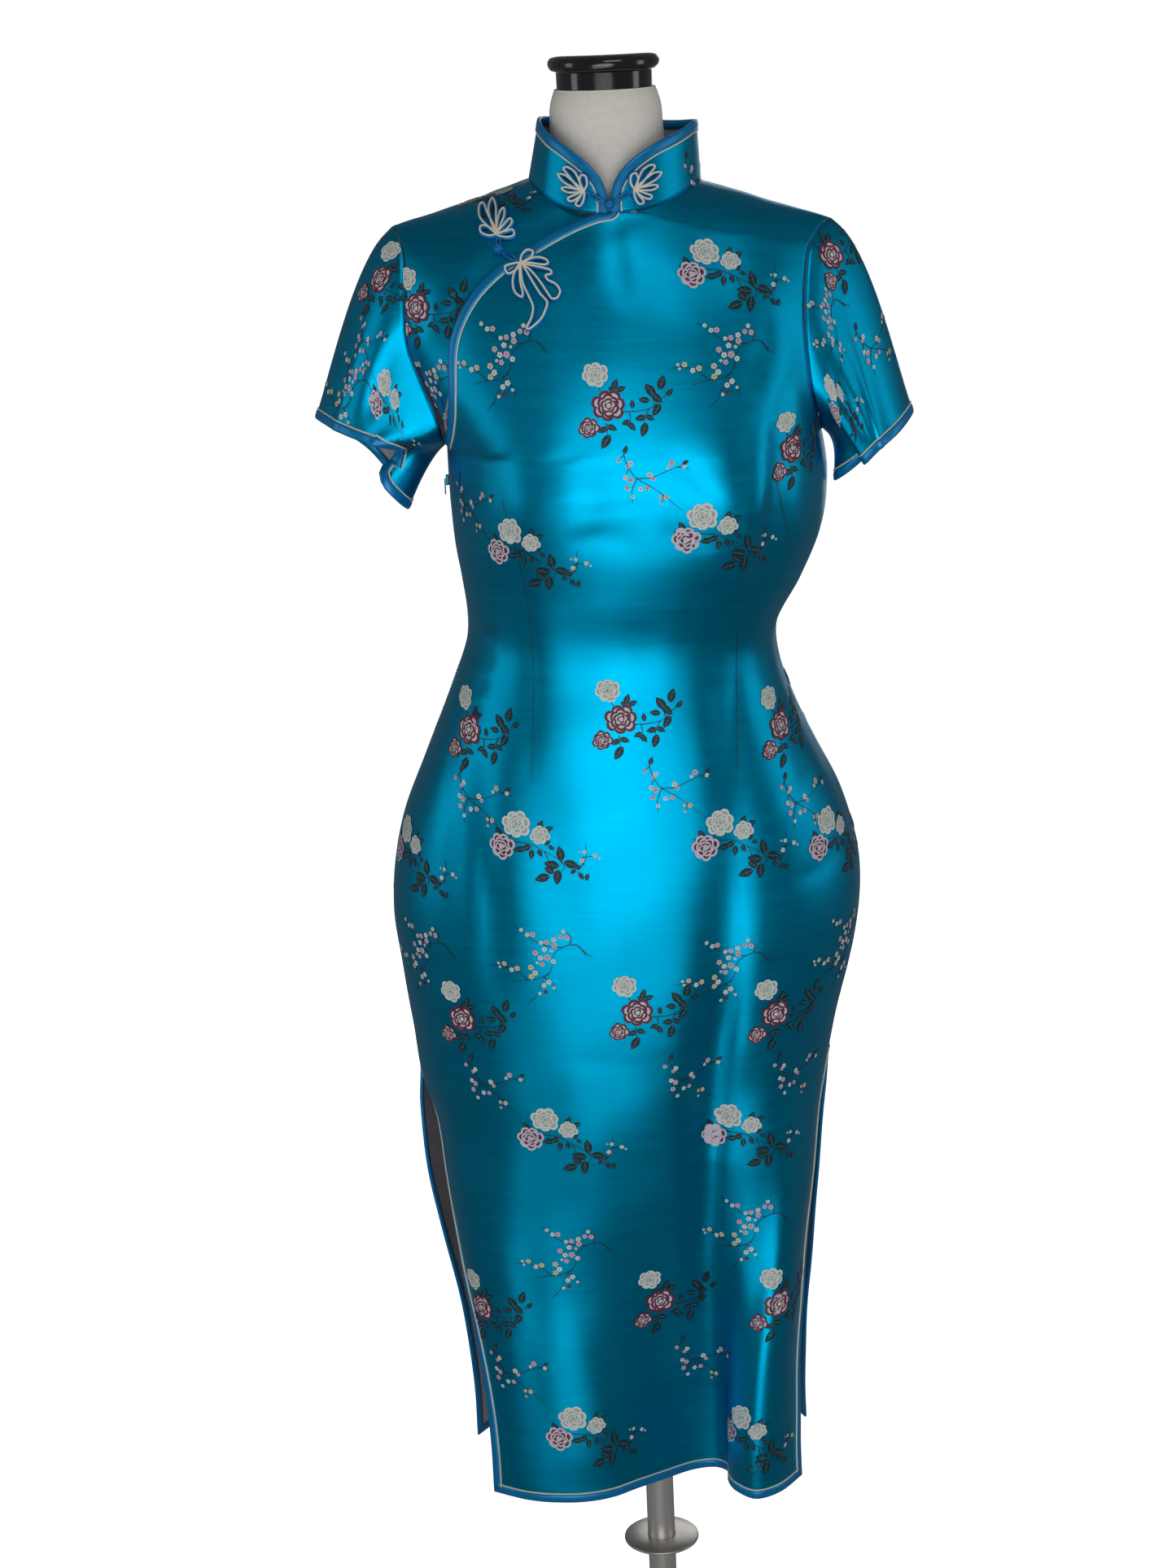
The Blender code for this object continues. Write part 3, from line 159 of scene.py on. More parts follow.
# Hems seen from above: share of the way across, x, y
frontHem = (
    (0.00, -0.144, -0.085), (0.09, -0.117, -0.100), (0.18, -0.086, -0.108),
    (0.28, -0.050, -0.106), (0.43, -0.007, -0.080), (0.55, 0.028, -0.060),
    (0.615, 0.049, -0.056), (0.655, 0.060, -0.064), (0.74, 0.062, -0.093),
    (0.84, 0.087, -0.116), (0.91, 0.105, -0.101), (1.00, 0.124, -0.075),
)
backHem = (
    (0.00, -0.162, 0.018), (0.17, -0.122, 0.075), (0.36, -0.062, 0.104),
    (0.53, 0.000, 0.094), (0.70, 0.058, 0.106), (0.87, 0.108, 0.080),
    (1.00, 0.135, 0.030),
)

# The front's deep fold, and how far above the slits the front starts to fall to its hem
valley = {"x": 0.057, "top": 0.90, "full": 0.60, "depth": 0.018, "wide": 0.018}
fallAbove = 0.06

# Stations of the panels. Columns are closer together at the lobe of the front hem
frontShares = (
    0.0, 0.05, 0.10, 0.16, 0.23, 0.31, 0.39, 0.48, 0.56, 0.62, 0.66, 0.71, 0.76, 0.82, 0.90, 1.0,
)
backShares = (
    0.0, 0.07, 0.15, 0.23, 0.285, 0.30, 0.315, 0.36, 0.43, 0.50, 0.57, 0.64, 0.685, 0.70, 0.715,
    0.77, 0.85, 0.93, 1.0,
)
skirtHeights = (hemZ, 0.325, 0.385, 0.445, 0.505, 0.565, 0.615, slitTopZ)
tubeHeights = (
    0.70, 0.75, 0.795, 0.84, 0.885, 0.93, 0.97, 1.005, 1.035, 1.075, 1.115, 1.155, underarmZ,
)
upperRows = (
    0.07, 0.14, 0.21, 0.28, 0.35, 0.42, 0.49, 0.56, 0.63, 0.685, 0.70, 0.715, 0.75, 0.80, 0.85,
    0.90, 0.95, 1.0,
)
neckRow = 0.70
backNeckShare = 0.4
yokeShares = tuple(i / 9 for i in range(10))
yokeStart = upperRows[0]

# Sleeves: the hem loop from the underarm round the front to the back
sleeveShape = {"rings": 7, "cell": 0.0042, "leaveOut": 0.045, "leaveDown": 0.03,
               "arrive": 0.75, "arriveTop": 0.1, "arriveAcross": 0.8}
sleeveHemRight = (
    (0.00, -0.174, -0.004, 1.138), (0.05, -0.186, -0.022, 1.154), (0.09, -0.196, -0.018, 1.170),
    (0.14, -0.184, -0.012, 1.181), (0.20, -0.178, -0.036, 1.191), (0.29, -0.198, -0.045, 1.199),
    (0.39, -0.223, -0.034, 1.208), (0.50, -0.2445, -0.002, 1.2155), (0.60, -0.236, 0.028, 1.207),
    (0.73, -0.214, 0.046, 1.188), (0.86, -0.191, 0.040, 1.162), (0.94, -0.178, 0.018, 1.143),
)
sleeveHemLeft = (
    (0.00, 0.175, 0.004, 1.146), (0.05, 0.185, -0.008, 1.154), (0.10, 0.199, -0.012, 1.166),
    (0.15, 0.203, -0.026, 1.170), (0.20, 0.197, -0.042, 1.167), (0.29, 0.208, -0.044, 1.178),
    (0.39, 0.225, -0.033, 1.190), (0.50, 0.239, -0.004, 1.201), (0.60, 0.232, 0.026, 1.194),
    (0.73, 0.212, 0.044, 1.176), (0.86, 0.192, 0.040, 1.158), (0.94, 0.182, 0.020, 1.148),
)


def smoothStep(value):
    value = min(max(value, 0.0), 1.0)
    return value * value * (3.0 - 2.0 * value)


def hermite(a, da, b, db, t):
    return (
        a * (2 * t**3 - 3 * t**2 + 1) + da * (t**3 - 2 * t**2 + t)
        + b * (3 * t**2 - 2 * t**3) + db * (t**3 - t**2)
    )


def curveThrough(rows, at):
    # Values at one place of a table, on a smooth curve through its rows.
    keys = [row[0] for row in rows]
    at = min(max(at, keys[0]), keys[-1])
    i = min(max(bisect.bisect_right(keys, at) - 1, 0), len(keys) - 2)
    span = keys[i + 1] - keys[i]
    t = (at - keys[i]) / span
    values = []
    for k in range(1, len(rows[0])):
        start = slopeAt(rows, i, k) * span
        end = slopeAt(rows, i + 1, k) * span
        values.append(hermite(rows[i][k], start, rows[i + 1][k], end, t))
    return values


def slopeAt(rows, i, k):
    low = max(i - 1, 0)
    high = min(i + 1, len(rows) - 1)
    return (rows[high][k] - rows[low][k]) / (rows[high][0] - rows[low][0])


def along(points, share):
    # A point on the smooth curve through a list, at a share of its length.
    lengths = [0.0]
    for a, b in zip(points, points[1:]):
        lengths.append(lengths[-1] + sqrt(sum((p - q) ** 2 for p, q in zip(a, b))))
    rows = [(length / lengths[-1], *point) for length, point in zip(lengths, points)]
    return curveThrough(rows, share)


def signedPower(value, power):
    return abs(value) ** power * (1 if value > 0 else -1)


def shoulderZ(x):
    return curveThrough(shoulderLine, x)[0]


def levelShare(row):
    # Height share between the underarm and the shoulder line, for a row from 0 to 1.
    return sin(row * pi / 2) ** levelPower


def upperSection(share):
    # Half width, centre and depths at a height share between underarm and shoulder line.
    half, centre, front, back = curveThrough(body, underarmZ)
    grow = 1 - (1 - share) ** 2
    half += (shoulderHalf - half) * grow
    centre += (shoulderCentre - centre) * grow
    return half, centre, front, back


def bodyPoint(angle, z=None, row=None):
    # The angle is 0 in front, 90 at the wearer's left. z below the underarm, row 0 to 1 above it
    share = 0.0
    if row is None:
        half, centre, front, back = curveThrough(body, z)
    else:
        share = levelShare(row)
        half, centre, front, back = upperSection(share)
    turn = radians(angle)
    x = centre + half * signedPower(sin(turn), 2 / squareness)
    reach = abs(cos(turn)) ** (2 / squareness)
    inFront = cos(turn) > 0
    if inFront:
        depth = front * reach * sqrt(max(1 - share**frontRounding, 0.0))
    else:
        depth = back * reach * sqrt(max(1 - share**backRounding, 0.0))
    if row is not None:
        z = underarmZ + (shoulderZ(x) - underarmZ) * share
    depth += fullness(x - centre, z, bust if inFront else seat) * reach
    return np.array((x, -depth if inFront else depth, z))


def fullness(x, z, place):
    # Rounding of the bust or the seat, the same on both sides.
    high = ((z - place["z"]) / place["high"]) ** 2
    left = ((x - place["x"]) / place["wide"]) ** 2
    right = ((x + place["x"]) / place["wide"]) ** 2
    return place["out"] * (np.exp(-left - high) + np.exp(-right - high))


def placeOnBody(x, z, back=False):
    # Angle and row of the point that shows at x, z from the front.
    share = min(max((z - underarmZ) / (shoulderZ(x) - underarmZ), 0.0), 1.0)
    return angleOn(x, share, back), asin(share ** (1 / levelPower)) / (pi / 2)


def angleOn(x, share, back):
    # The angle that shows at x, at a height share between underarm and shoulder line.
    half, centre, _, _ = upperSection(share)
    across = min(max((x - centre) / half, -1.0), 1.0)
    angle = degrees(asin(signedPower(across, squareness / 2)))
    return 180 - angle if back else angle


def neckX(turn, centre, half):
    # The sideways place round the neck. The front middle lies at x 0.
    return centre * (1 - max(cos(radians(turn)), 0.0)) + half * sin(radians(turn))


def neckPlace(turn):
    # Angle and row of the neckline point at a turn about the neck, 0 in front. The row is
    # found by halving.
    front = cos(radians(turn)) > 0
    x = neckX(turn, neckCentreX, neckHalf)
    y = (neckFront if front else neckBack) * abs(cos(radians(turn)))
    low = 0.0
    high = 1.0
    for _ in range(40):
        row = (low + high) / 2
        angle = angleAt(x, row, not front)
        if abs(bodyPoint(angle, row=row)[1]) > y:
            low = row
        else:
            high = row
    return angleAt(x, row, not front), row


def angleAt(x, row, back):
    return angleOn(x, levelShare(row), back)


def blendEdges(bottom, top, left, right, u, v):
    # A point inside four edge curves, each given from 0 to 1.
    b = np.array(bottom(u))
    t = np.array(top(u))
    l = np.array(left(v))
    r = np.array(right(v))
    b0 = np.array(bottom(0.0))
    b1 = np.array(bottom(1.0))
    t0 = np.array(top(0.0))
    t1 = np.array(top(1.0))
    l += (1 - v) * (b0 - np.array(left(0.0))) + v * (t0 - np.array(left(1.0)))
    r += (1 - v) * (b1 - np.array(right(0.0))) + v * (t1 - np.array(right(1.0)))
    corners = (1 - u) * (1 - v) * b0 + u * (1 - v) * b1 + (1 - u) * v * t0 + u * v * t1
    return (1 - v) * b + v * t + (1 - u) * l + u * r - corners


def bodyCurve(points, back=False):
    places = [placeOnBody(x, z, back) for x, z in points]
    return lambda share: along(places, share)


def edgeThenNeck(points, neckStart, neckEnd, corner):
    # A slanted edge up to the neckline at the corner's share, then the neckline.
    places = [placeOnBody(x, z) for x, z in points[:-1]] + [neckPlace(neckStart)]
    def edge(share):
        if share <= corner:
            return along(places, share / corner)
        return neckPlace(neckStart + (neckEnd - neckStart) * (share - corner) / (1 - corner))
    return edge


def shoulderEdge(neckTurn, armhole, back=False):
    # The shoulder seam from the neckline (0) to the armhole (1).
    x0 = neckX(neckTurn, neckCentreX, neckHalf)
    x1 = armhole[-1][0]
    return lambda share: (angleAt(x0 + (x1 - x0) * share, 1.0, back), 1.0)


def frontPlace(u, v):
    # A place of the chest between the slanted opening (u 0) and the left armhole (u 1).
    bottom = lambda share: (-90 + 180 * share, 0.0)
    opening = edgeThenNeck(placket, -neckEndAngle, 90, neckRow)
    top = shoulderEdge(90, armholeFrontLeft)
    return blendEdges(bottom, top, opening, bodyCurve(armholeFrontLeft), u, v)


def backPlace(u, v):
    # A place of the back from the wearer's right (u 0) to the left (u 1).
    bottom = lambda share: (270 - 180 * share, 0.0)
    right = shoulderEdge(270, armholeBackRight, back=True)
    left = shoulderEdge(90, armholeBackLeft, back=True)
    beside = (1 - backNeckShare) / 2
    def top(share):
        if share < beside:
            return foldAngle(right(1 - share / beside))
        if share > 1 - beside:
            return foldAngle(left((share - 1 + beside) / beside))
        turn = 270 - 180 * (share - beside) / backNeckShare
        return foldAngle(neckPlace(min(max(turn, 90.01), 269.99)))
    return blendEdges(
        bottom, top, bodyCurve(armholeBackRight, True), bodyCurve(armholeBackLeft, True), u, v)


def foldAngle(place):
    angle, row = place
    return angle % 360, row


def skirtFront(u, z):
    # Front panel from the wearer's right (u 0) to the left (u 1), z under the underarm.
    point = bodyPoint(-90 + 180 * u, z=max(z, slitTopZ))
    inward = valley["depth"] * smoothStep((valley["top"] - z) / (valley["top"] - valley["full"]))
    beside = (point[0] - valley["x"]) / valley["wide"]
    point[1] += inward * np.exp(-beside**2)
    if z < slitTopZ:
        start = slitTopZ + fallAbove
        before = smoothStep(fallAbove / (start - hemZ))
        fall = (smoothStep((start - z) / (start - hemZ)) - before) / (1 - before)
        dropToHem(point, u, z, frontEdges, frontHem, fall)
    return point


def skirtBack(u, z):
    # Back panel from the wearer's right (u 0) to the left (u 1).
    point = bodyPoint(270 - 180 * u, z=max(z, slitTopZ))
    if z < slitTopZ:
        fall = smoothStep((slitTopZ - z) / (slitTopZ - hemZ))
        dropToHem(point, u, z, backEdges, backHem, fall)
    return point


def dropToHem(point, u, z, edges, hem, fall):
    # Carries a point at the slits' top down to its height, between the edges and the hem.
    centre = curveThrough(body, slitTopZ)[1]
    right, left = curveThrough(edges, z)
    share = ((point[0] - centre) / body[0][1] + 1) / 2
    point[0] = right + (left - right) * share
    hemX, hemY = curveThrough(hem, u)
    point[0] += (hemX - point[0]) * fall**2
    point[1] += (hemY - point[1]) * fall
    point[2] = z


def panelPoints(skirt, place, shares):
    # Outer points and outward directions of a whole panel, row by row from the hem.
    heights = skirtHeights + tubeHeights
    points = [[skirt(u, z) for u in shares] for z in heights]
    outward = [[skirtOut(skirt, u, z) for u in shares] for z in heights]
    upper, upperOut = upperPoints(place, upperRows, shares)
    return np.concatenate((points, upper)), np.concatenate((outward, upperOut))


def upperPoints(place, rows, shares):
    # Points above the underarm, with the body's outward directions.
    places = [[place(u, v) for u in shares] for v in rows]
    points = [[bodyPoint(a, row=min(max(row, 0.0), 1.0)) for a, row in line] for line in places]
    outward = [[bodyOut(a, row) for a, row in line] for line in places]
    return np.array(points), np.array(outward)


def skirtOut(skirt, u, z):
    # The outward direction under the underarm, measured with small steps inside the panel.
    step = 0.0005
    across = skirt(min(u + step, 1.0), z) - skirt(max(u - step, 0.0), z)
    top = min(z + step, underarmZ)
    up = skirt(u, top) - skirt(u, top - 2 * step)
    out = np.cross(across, up)
    return unit(-out if skirt is skirtBack else out)


def seamSide(points, sides):
    # Moves the named edges of a grid inward by half a seam's gap.
    points = points.copy()
    for side, edge, inner in (("u0", np.s_[:, 0], np.s_[:, 1]),
                              ("u1", np.s_[:, -1], np.s_[:, -2]),
                              ("v1", np.s_[-1], np.s_[-2])):
        if side in sides:
            points[edge] += cloth["seamGap"] / 2 * unit(points[inner] - points[edge])
    return points


def unit(vectors):
    return vectors / np.linalg.norm(vectors, axis=-1, keepdims=True)


def yokePlace(u, v):
    # A place of the small front, from the armhole (u 0) to its hidden edge (u 1).
    armhole = bodyCurve(armholeFrontRight)
    hidden = edgeThenNeck(underlapEdge, underlapNeckAngle, -90, yokeShare(neckRow))
    left = lambda share: armhole(yokeStart + (1 - yokeStart) * share)
    start = np.array(left(0.0))
    stop = np.array(hidden(0.0))
    bottom = lambda share: start + (stop - start) * share
    shoulder = shoulderEdge(-90, armholeFrontRight)
    return blendEdges(bottom, lambda share: shoulder(1 - share), left, hidden, u, v)


def yokeShare(row):
    # The yoke's own share for a row of the armhole, so that both meet at the same points.
    return (row - yokeStart) / (1 - yokeStart)


def underFront(point):
    # 1 under the front panel and close to its edge, 0 well clear of it.
    return smoothStep(1 + (cloth["underlapFlat"] - signedGap(point)) / cloth["underlapRise"])


def signedGap(point):
    # Distance in front view from the placket line, positive above it.
    best = None
    for (x0, z0), (x1, z1) in zip(placket, placket[1:]):
        dx = x1 - x0
        dz = z1 - z0
        t = ((point[0] - x0) * dx + (point[2] - z0) * dz) / (dx * dx + dz * dz)
        t = min(max(t, 0.0), 1.0)
        gap = hypot(point[0] - x0 - t * dx, point[2] - z0 - t * dz)
        above = dx * (point[2] - z0) - dz * (point[0] - x0) > 0
        if best is None or gap < abs(best):
            best = gap if above else -gap
    return best


def surfaceOut(pointAt, turn, level, turnStep, levelStep=0.0005):
    # The outward direction of a surface, measured with small steps both ways.
    across = pointAt(turn + turnStep, level) - pointAt(turn - turnStep, level)
    up = pointAt(turn, level + levelStep) - pointAt(turn, level - levelStep)
    out = np.cross(across, up)
    return out / np.linalg.norm(out)


def bodyOut(angle, row):
    row = min(max(row, 0.001), 0.999)
    return surfaceOut(lambda turn, level: bodyPoint(turn, row=level), angle, row, 0.05)


def closedCurve(points, shares):
    # A closed smooth curve through keyed points, read at shares of the way round.
    rows = [tuple(row) for row in points]
    rows = [(rows[-1][0] - 1.0, *rows[-1][1:])] + rows + [(1.0, *rows[0][1:])]
    rows.append((1.0 + rows[2][0], *rows[2][1:]))
    return np.array([curveThrough(rows, share) for share in shares])


def sleeveRings(armhole, hemLoop, intoHole, gaps, side):
    # Rings from the armhole to the hem. The cloth leaves outward and hangs more steeply on top.
    rings = []
    count = len(armhole)
    leaveOut = sleeveShape["leaveOut"]
    leaveDown = sleeveShape["leaveDown"]
    for i in range(sleeveShape["rings"] + 1):
        ring = []
        for k in range(count):
            top = 0.5 - 0.5 * cos(2 * pi * k / count)
            leave = np.array(
                (side * (leaveOut + leaveOut * top), 0.0, -leaveDown - leaveDown * top))
            arrive = (hemLoop[k] - armhole[k]) * (
                sleeveShape["arrive"] + sleeveShape["arriveTop"] * top)
            arrive[0] *= sleeveShape["arriveAcross"]
            start = armhole[k] + intoHole[k] * gaps[k]
            ring.append(hermite(start, leave, hemLoop[k], arrive, i / sleeveShape["rings"]))
        rings.append(ring)
    rings = np.array(rings)
    around = np.roll(rings, -1, axis=1) - np.roll(rings, 1, axis=1)
    down = np.gradient(rings, axis=0)
    return rings, unit(np.cross(down, around)) * side


def neckPoint(turn):
    # A point of the neckline on the panels' outer face.
    angle, row = neckPlace(turn)
    return bodyPoint(angle, row=row)


def collarPoint(turn, height):
    # A point of the collar's middle surface, with its height above the seam.
    base = neckPoint(turn)
    base[0] += collarStepOut * sin(radians(turn))
    base[1] -= collarStepOut * cos(radians(turn))
    front = cos(radians(turn)) > 0
    topX = neckX(turn, collarTopSize["centre"], collarTopSize["half"])
    depth = collarTopSize["front"] if front else collarTopSize["back"]
    topY = -depth * cos(radians(turn))
    share = height / collarHeight
    x = base[0] + (topX - base[0]) * share
    y = base[1] + (topY - base[1]) * share
    return np.array((x, y, base[2] + collarSeamRise + height))


def collarOut(turn, height):
    return surfaceOut(collarPoint, turn, height, 0.5)


def collarTop(turn):
    # Height of the collar's top edge, rounded down to its front end.
    reach = max(min(abs(turn), 360 - abs(turn)) - collarEndTurn, 0.0)
    width = collarCornerAngle - collarEndTurn
    if reach >= width:
        return collarHeight
    across = 1 - reach / width
    rise = (1 - across**collarCornerPower) ** (1 / collarCornerPower)
    return collarEndHeight + (collarHeight - collarEndHeight) * rise


def stationKeys(points, axis):
    # Mean distances along a grid's rows (axis 0) or columns (axis 1), added up from the start.
    steps = np.linalg.norm(np.diff(points, axis=axis), axis=2).mean(axis=1 - axis)
    return np.concatenate(((0.0,), np.cumsum(steps)))


def smoothRead(values, keys, at, axis):
    # The grid's values between its stations, on smooth curves through them.
    values = np.moveaxis(values, axis, 0)
    slopes = np.empty_like(values)
    slopes[1:-1] = (values[2:] - values[:-2]) / (keys[2:] - keys[:-2])[:, None, None]
    slopes[0] = (values[1] - values[0]) / (keys[1] - keys[0])
    slopes[-1] = (values[-1] - values[-2]) / (keys[-1] - keys[-2])
    i = np.clip(np.searchsorted(keys, at, side="right") - 1, 0, len(keys) - 2)
    span = (keys[i + 1] - keys[i])[:, None, None]
    t = (at - keys[i])[:, None, None] / span
    read = hermite(values[i], slopes[i] * span, values[i + 1], slopes[i + 1] * span, t)
    return np.moveaxis(read, 0, axis)


def fineGrid(points, out, closed=False, cell=None):
    # The same cloth with a vertex about every cell, and its outward directions.
    cell = cell or cloth["cell"]
    start = 0
    count = points.shape[1]
    if closed:
        start = 3
        points = np.concatenate((points[:, -3:], points, points[:, :4]), axis=1)
        out = np.concatenate((out[:, -3:], out, out[:, :4]), axis=1)
    across = stationKeys(points, 1)
    up = stationKeys(points, 0)
    first = across[start]
    last = across[start + count] if closed else across[-1]
    atAcross = np.linspace(first, last, max(int(round((last - first) / cell)), 4) + 1)
    atUp = np.linspace(0.0, up[-1], max(int(round(up[-1] / cell)), 3) + 1)
    fine = smoothRead(smoothRead(points, across, atAcross, 1), up, atUp, 0)
    fineOut = smoothRead(smoothRead(out, across, atAcross, 1), up, atUp, 0)
    return fine, unit(fineOut)


def flatten(points, out, middle):
    # Flat cloth coordinates in metres, counted across from the middle column and up the rows.
    up = np.array((0.0, 0.0, 1.0))
    around = unit(np.gradient(points, axis=1) + 1e-12)
    level = np.cross(up, out)
    sense = np.sign((level * around).sum())
    level = unit(level + cloth["aroundShare"] * sense * around)
    rise = np.cross(out, level)
    flat = np.zeros(points.shape[:2] + (2,))

    def step(a, b):
        way = points[b] - points[a]
        h = unit(level[a] + level[b])
        v = unit(rise[a] + rise[b])
        return np.stack(((way * h).sum(axis=-1), (way * v).sum(axis=-1)), axis=-1)

    for i in range(1, points.shape[0]):
        flat[i, middle] = flat[i - 1, middle] + step((i - 1, middle), (i, middle))
    rows = np.arange(points.shape[0])
    for j in range(middle + 1, points.shape[1]):
        flat[:, j] = flat[:, j - 1] + step((rows, j - 1), (rows, j))
    for j in range(middle - 1, -1, -1):
        flat[:, j] = flat[:, j + 1] + step((rows, j + 1), (rows, j))
    return flat


def rolledFlat(points, out, middle):
    # Flat coordinates of a tube, opened at its first column: along its rings and up its columns.
    across = np.linalg.norm(np.diff(points, axis=1), axis=2)
    across = np.concatenate((np.zeros((len(points), 1)), np.cumsum(across, axis=1)), axis=1)
    up = np.linalg.norm(np.diff(points, axis=0), axis=2)
    up = np.concatenate((np.zeros((1, points.shape[1])), np.cumsum(up, axis=0)))
    around = np.gradient(points, axis=1)
    rise = np.gradient(points, axis=0)
    sense = np.sign((np.cross(around, rise) * out).sum())
    return np.stack((sense * (across - across[:, middle:middle + 1]), up), axis=-1)


def gridOf(places):
    # A bmesh grid with its vertices at the given rows of places.
    rows, columns = places.shape[:2]
    bm = bmesh.new()
    bmesh.ops.create_grid(bm, x_segments=columns - 1, y_segments=rows - 1, size=0.5)
    for vertex in bm.verts:
        j = int(round((vertex.co.x + 0.5) * (columns - 1)))
        i = int(round((vertex.co.y + 0.5) * (rows - 1)))
        vertex.index = i * columns + j
    bm.verts.sort()
    spots = places.reshape(rows * columns, -1)
    for vertex in bm.verts:
        spot = spots[vertex.index]
        vertex.co = (spot[0], spot[1], spot[2] if len(spot) > 2 else 0.0)
    return bm


def newPiece(name, bm, materials):
    mesh = bpy.data.meshes.new(name)
    bm.to_mesh(mesh)
    bm.free()
    piece = bpy.data.objects.new(name, mesh)
    bpy.context.scene.collection.objects.link(piece)
    for material in materials:
        mesh.materials.append(material)
    return piece


def shadeSoft(piece):
    for face in piece.data.polygons:
        face.use_smooth = True


def faceOut(bm, out):
    # Turns a grid's faces to the side that its outward directions point to.
    bm.normal_update()
    agree = 0.0
    for face in list(bm.faces)[:: max(len(bm.faces) // 200, 1)]:
        agree += face.normal.dot(Vector(out[face.verts[0].index]))
    if agree < 0:
        bmesh.ops.reverse_faces(bm, faces=bm.faces)


def searchGrid(places):
    # A search tree of a grid in triangles, with the numbers of each triangle's corners.
    bm = gridOf(places)
    bmesh.ops.triangulate(bm, faces=bm.faces)
    bm.faces.ensure_lookup_table()
    corners = [[vertex.index for vertex in face.verts] for face in bm.faces]
    tree = BVHTree.FromBMesh(bm)
    bm.free()
    return corners, tree


def layPanel(name, node, points, out, closed=False):
    # One cut piece of satin: its mesh, wall, flat coordinates and search trees.
    middle = points.shape[1] // 2
    flat = rolledFlat(points, out, middle) if closed else flatten(points, out, middle)
    flat[..., 1] += points[0, middle, 2]
    bm = gridOf(points)
    faceOut(bm, out.reshape(-1, 3))
    layer = bm.loops.layers.uv.new("cloth")
    spots = flat.reshape(-1, 2)
    for face in bm.faces:
        for loop in face.loops:
            loop[layer].uv = spots[loop.vert.index]
    if closed:
        bmesh.ops.remove_doubles(bm, verts=bm.verts, dist=0.00001)
    piece = newPiece(name, bm, (brocadeSatin, satinReverse))
    shadeSoft(piece)
    wall = piece.modifiers.new("wall", "SOLIDIFY")
    wall.thickness = cloth["wall"]
    wall.offset = -1.0
    wall.material_offset = 1
    wall.material_offset_rim = 1
    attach(piece, "dress_and_form")
    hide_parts(node)
    corners, flatTree = searchGrid(flat)
    solidCorners, solidTree = searchGrid(points)
    return {
        "piece": piece, "flat": flat, "points": points, "out": out,
        "corners": corners, "flatTree": flatTree,
        "solidCorners": solidCorners, "solidTree": solidTree,
        "spots": [Vector((s, t, 0.0)) for s, t in spots],
        "places": [Vector(p) for p in points.reshape(-1, 3)],
        "outs": [Vector(p) for p in out.reshape(-1, 3)],
    }


def carried(spot, corners, source, target):
    # A spot of one mesh, read at the same place of the same triangle in another.
    a, b, c = corners
    return barycentric_transform(
        spot, source[a], source[b], source[c], target[a], target[b], target[c])


def onCloth(panel, s, t):
    # The place and outward direction at flat coordinates, or None off the cut piece.
    above = Vector((s, t, 1.0))
    spot, _, face, _ = panel["flatTree"].ray_cast(above, Vector((0.0, 0.0, -1.0)))
    if spot is None:
        return None
    corners = panel["corners"][face]
    place = carried(spot, corners, panel["spots"], panel["places"])
    out = carried(spot, corners, panel["spots"], panel["outs"])
    return place, out.normalized()


def flatAt(panel, x, z, behind=False):
    # Flat coordinates of the cloth seen at x, z from the front, or from the back.
    way = Vector((0.0, -1.0 if behind else 1.0, 0.0))
    hit, _, face, _ = panel["solidTree"].ray_cast(Vector((x, 0.0, z)) - way * 0.6, way)
    if hit is None:
        return None
    spot = carried(hit, panel["solidCorners"][face], panel["places"], panel["spots"])
    return spot.x, spot.y


def creaseHeight(x, z, line, width, depth):
    # One soft fold along a line of x, z places. It fades out at both ends.
    lengths = [0.0]
    for (x0, z0), (x1, z1) in zip(line, line[1:]):
        lengths.append(lengths[-1] + hypot(x1 - x0, z1 - z0))
    nearest = np.full(x.shape, np.inf)
    share = np.zeros(x.shape)
    for (x0, z0), (x1, z1), start in zip(line, line[1:], lengths):
        dx = x1 - x0
        dz = z1 - z0
        t = np.clip(((x - x0) * dx + (z - z0) * dz) / (dx * dx + dz * dz), 0.0, 1.0)
        gap = np.hypot(x - x0 - t * dx, z - z0 - t * dz)
        closer = gap < nearest
        share = np.where(closer, (start + t * hypot(dx, dz)) / lengths[-1], share)
        nearest = np.where(closer, gap, nearest)
    ease = np.sin(pi * share) ** cloth["creaseEase"]
    return depth * np.exp(-(nearest / width) ** 2) * ease


def pressFolds(points, out, folds):
    # Folds as line, width, depth, and the slight unevenness of cloth that hangs.
    x = points[..., 0]
    z = points[..., 2]
    height = cloth["uneven"] * sum(
        np.sin(a * x + b * z + c) for a, b, c in ((61, 23, 1.1), (-37, 71, 0.0), (113, 19, 2.0)))
    for line, width, depth in folds:
        height = height + creaseHeight(x, z, line, width, depth)
    moved = points + out * height[..., None]
    return moved, turnedOut(moved, out)


def turnedOut(points, out):
    # Outward directions measured again on the folded cloth.
    across = np.gradient(points, axis=1)
    up = np.gradient(points, axis=0)
    fresh = np.cross(across, up)
    side = np.sign((fresh * out).sum(axis=-1, keepdims=True))
    side[side == 0] = 1
    length = np.linalg.norm(fresh, axis=-1, keepdims=True)
    fresh = np.where(length > 1e-12, fresh * side / np.maximum(length, 1e-12), out)
    return unit(fresh + cloth["keepOut"] * out)


def newMaterial(name):
    material = bpy.data.materials.new(name)
    material.use_nodes = True
    tree = material.node_tree
    return material, tree.nodes, tree.links, tree.nodes["Principled BSDF"]


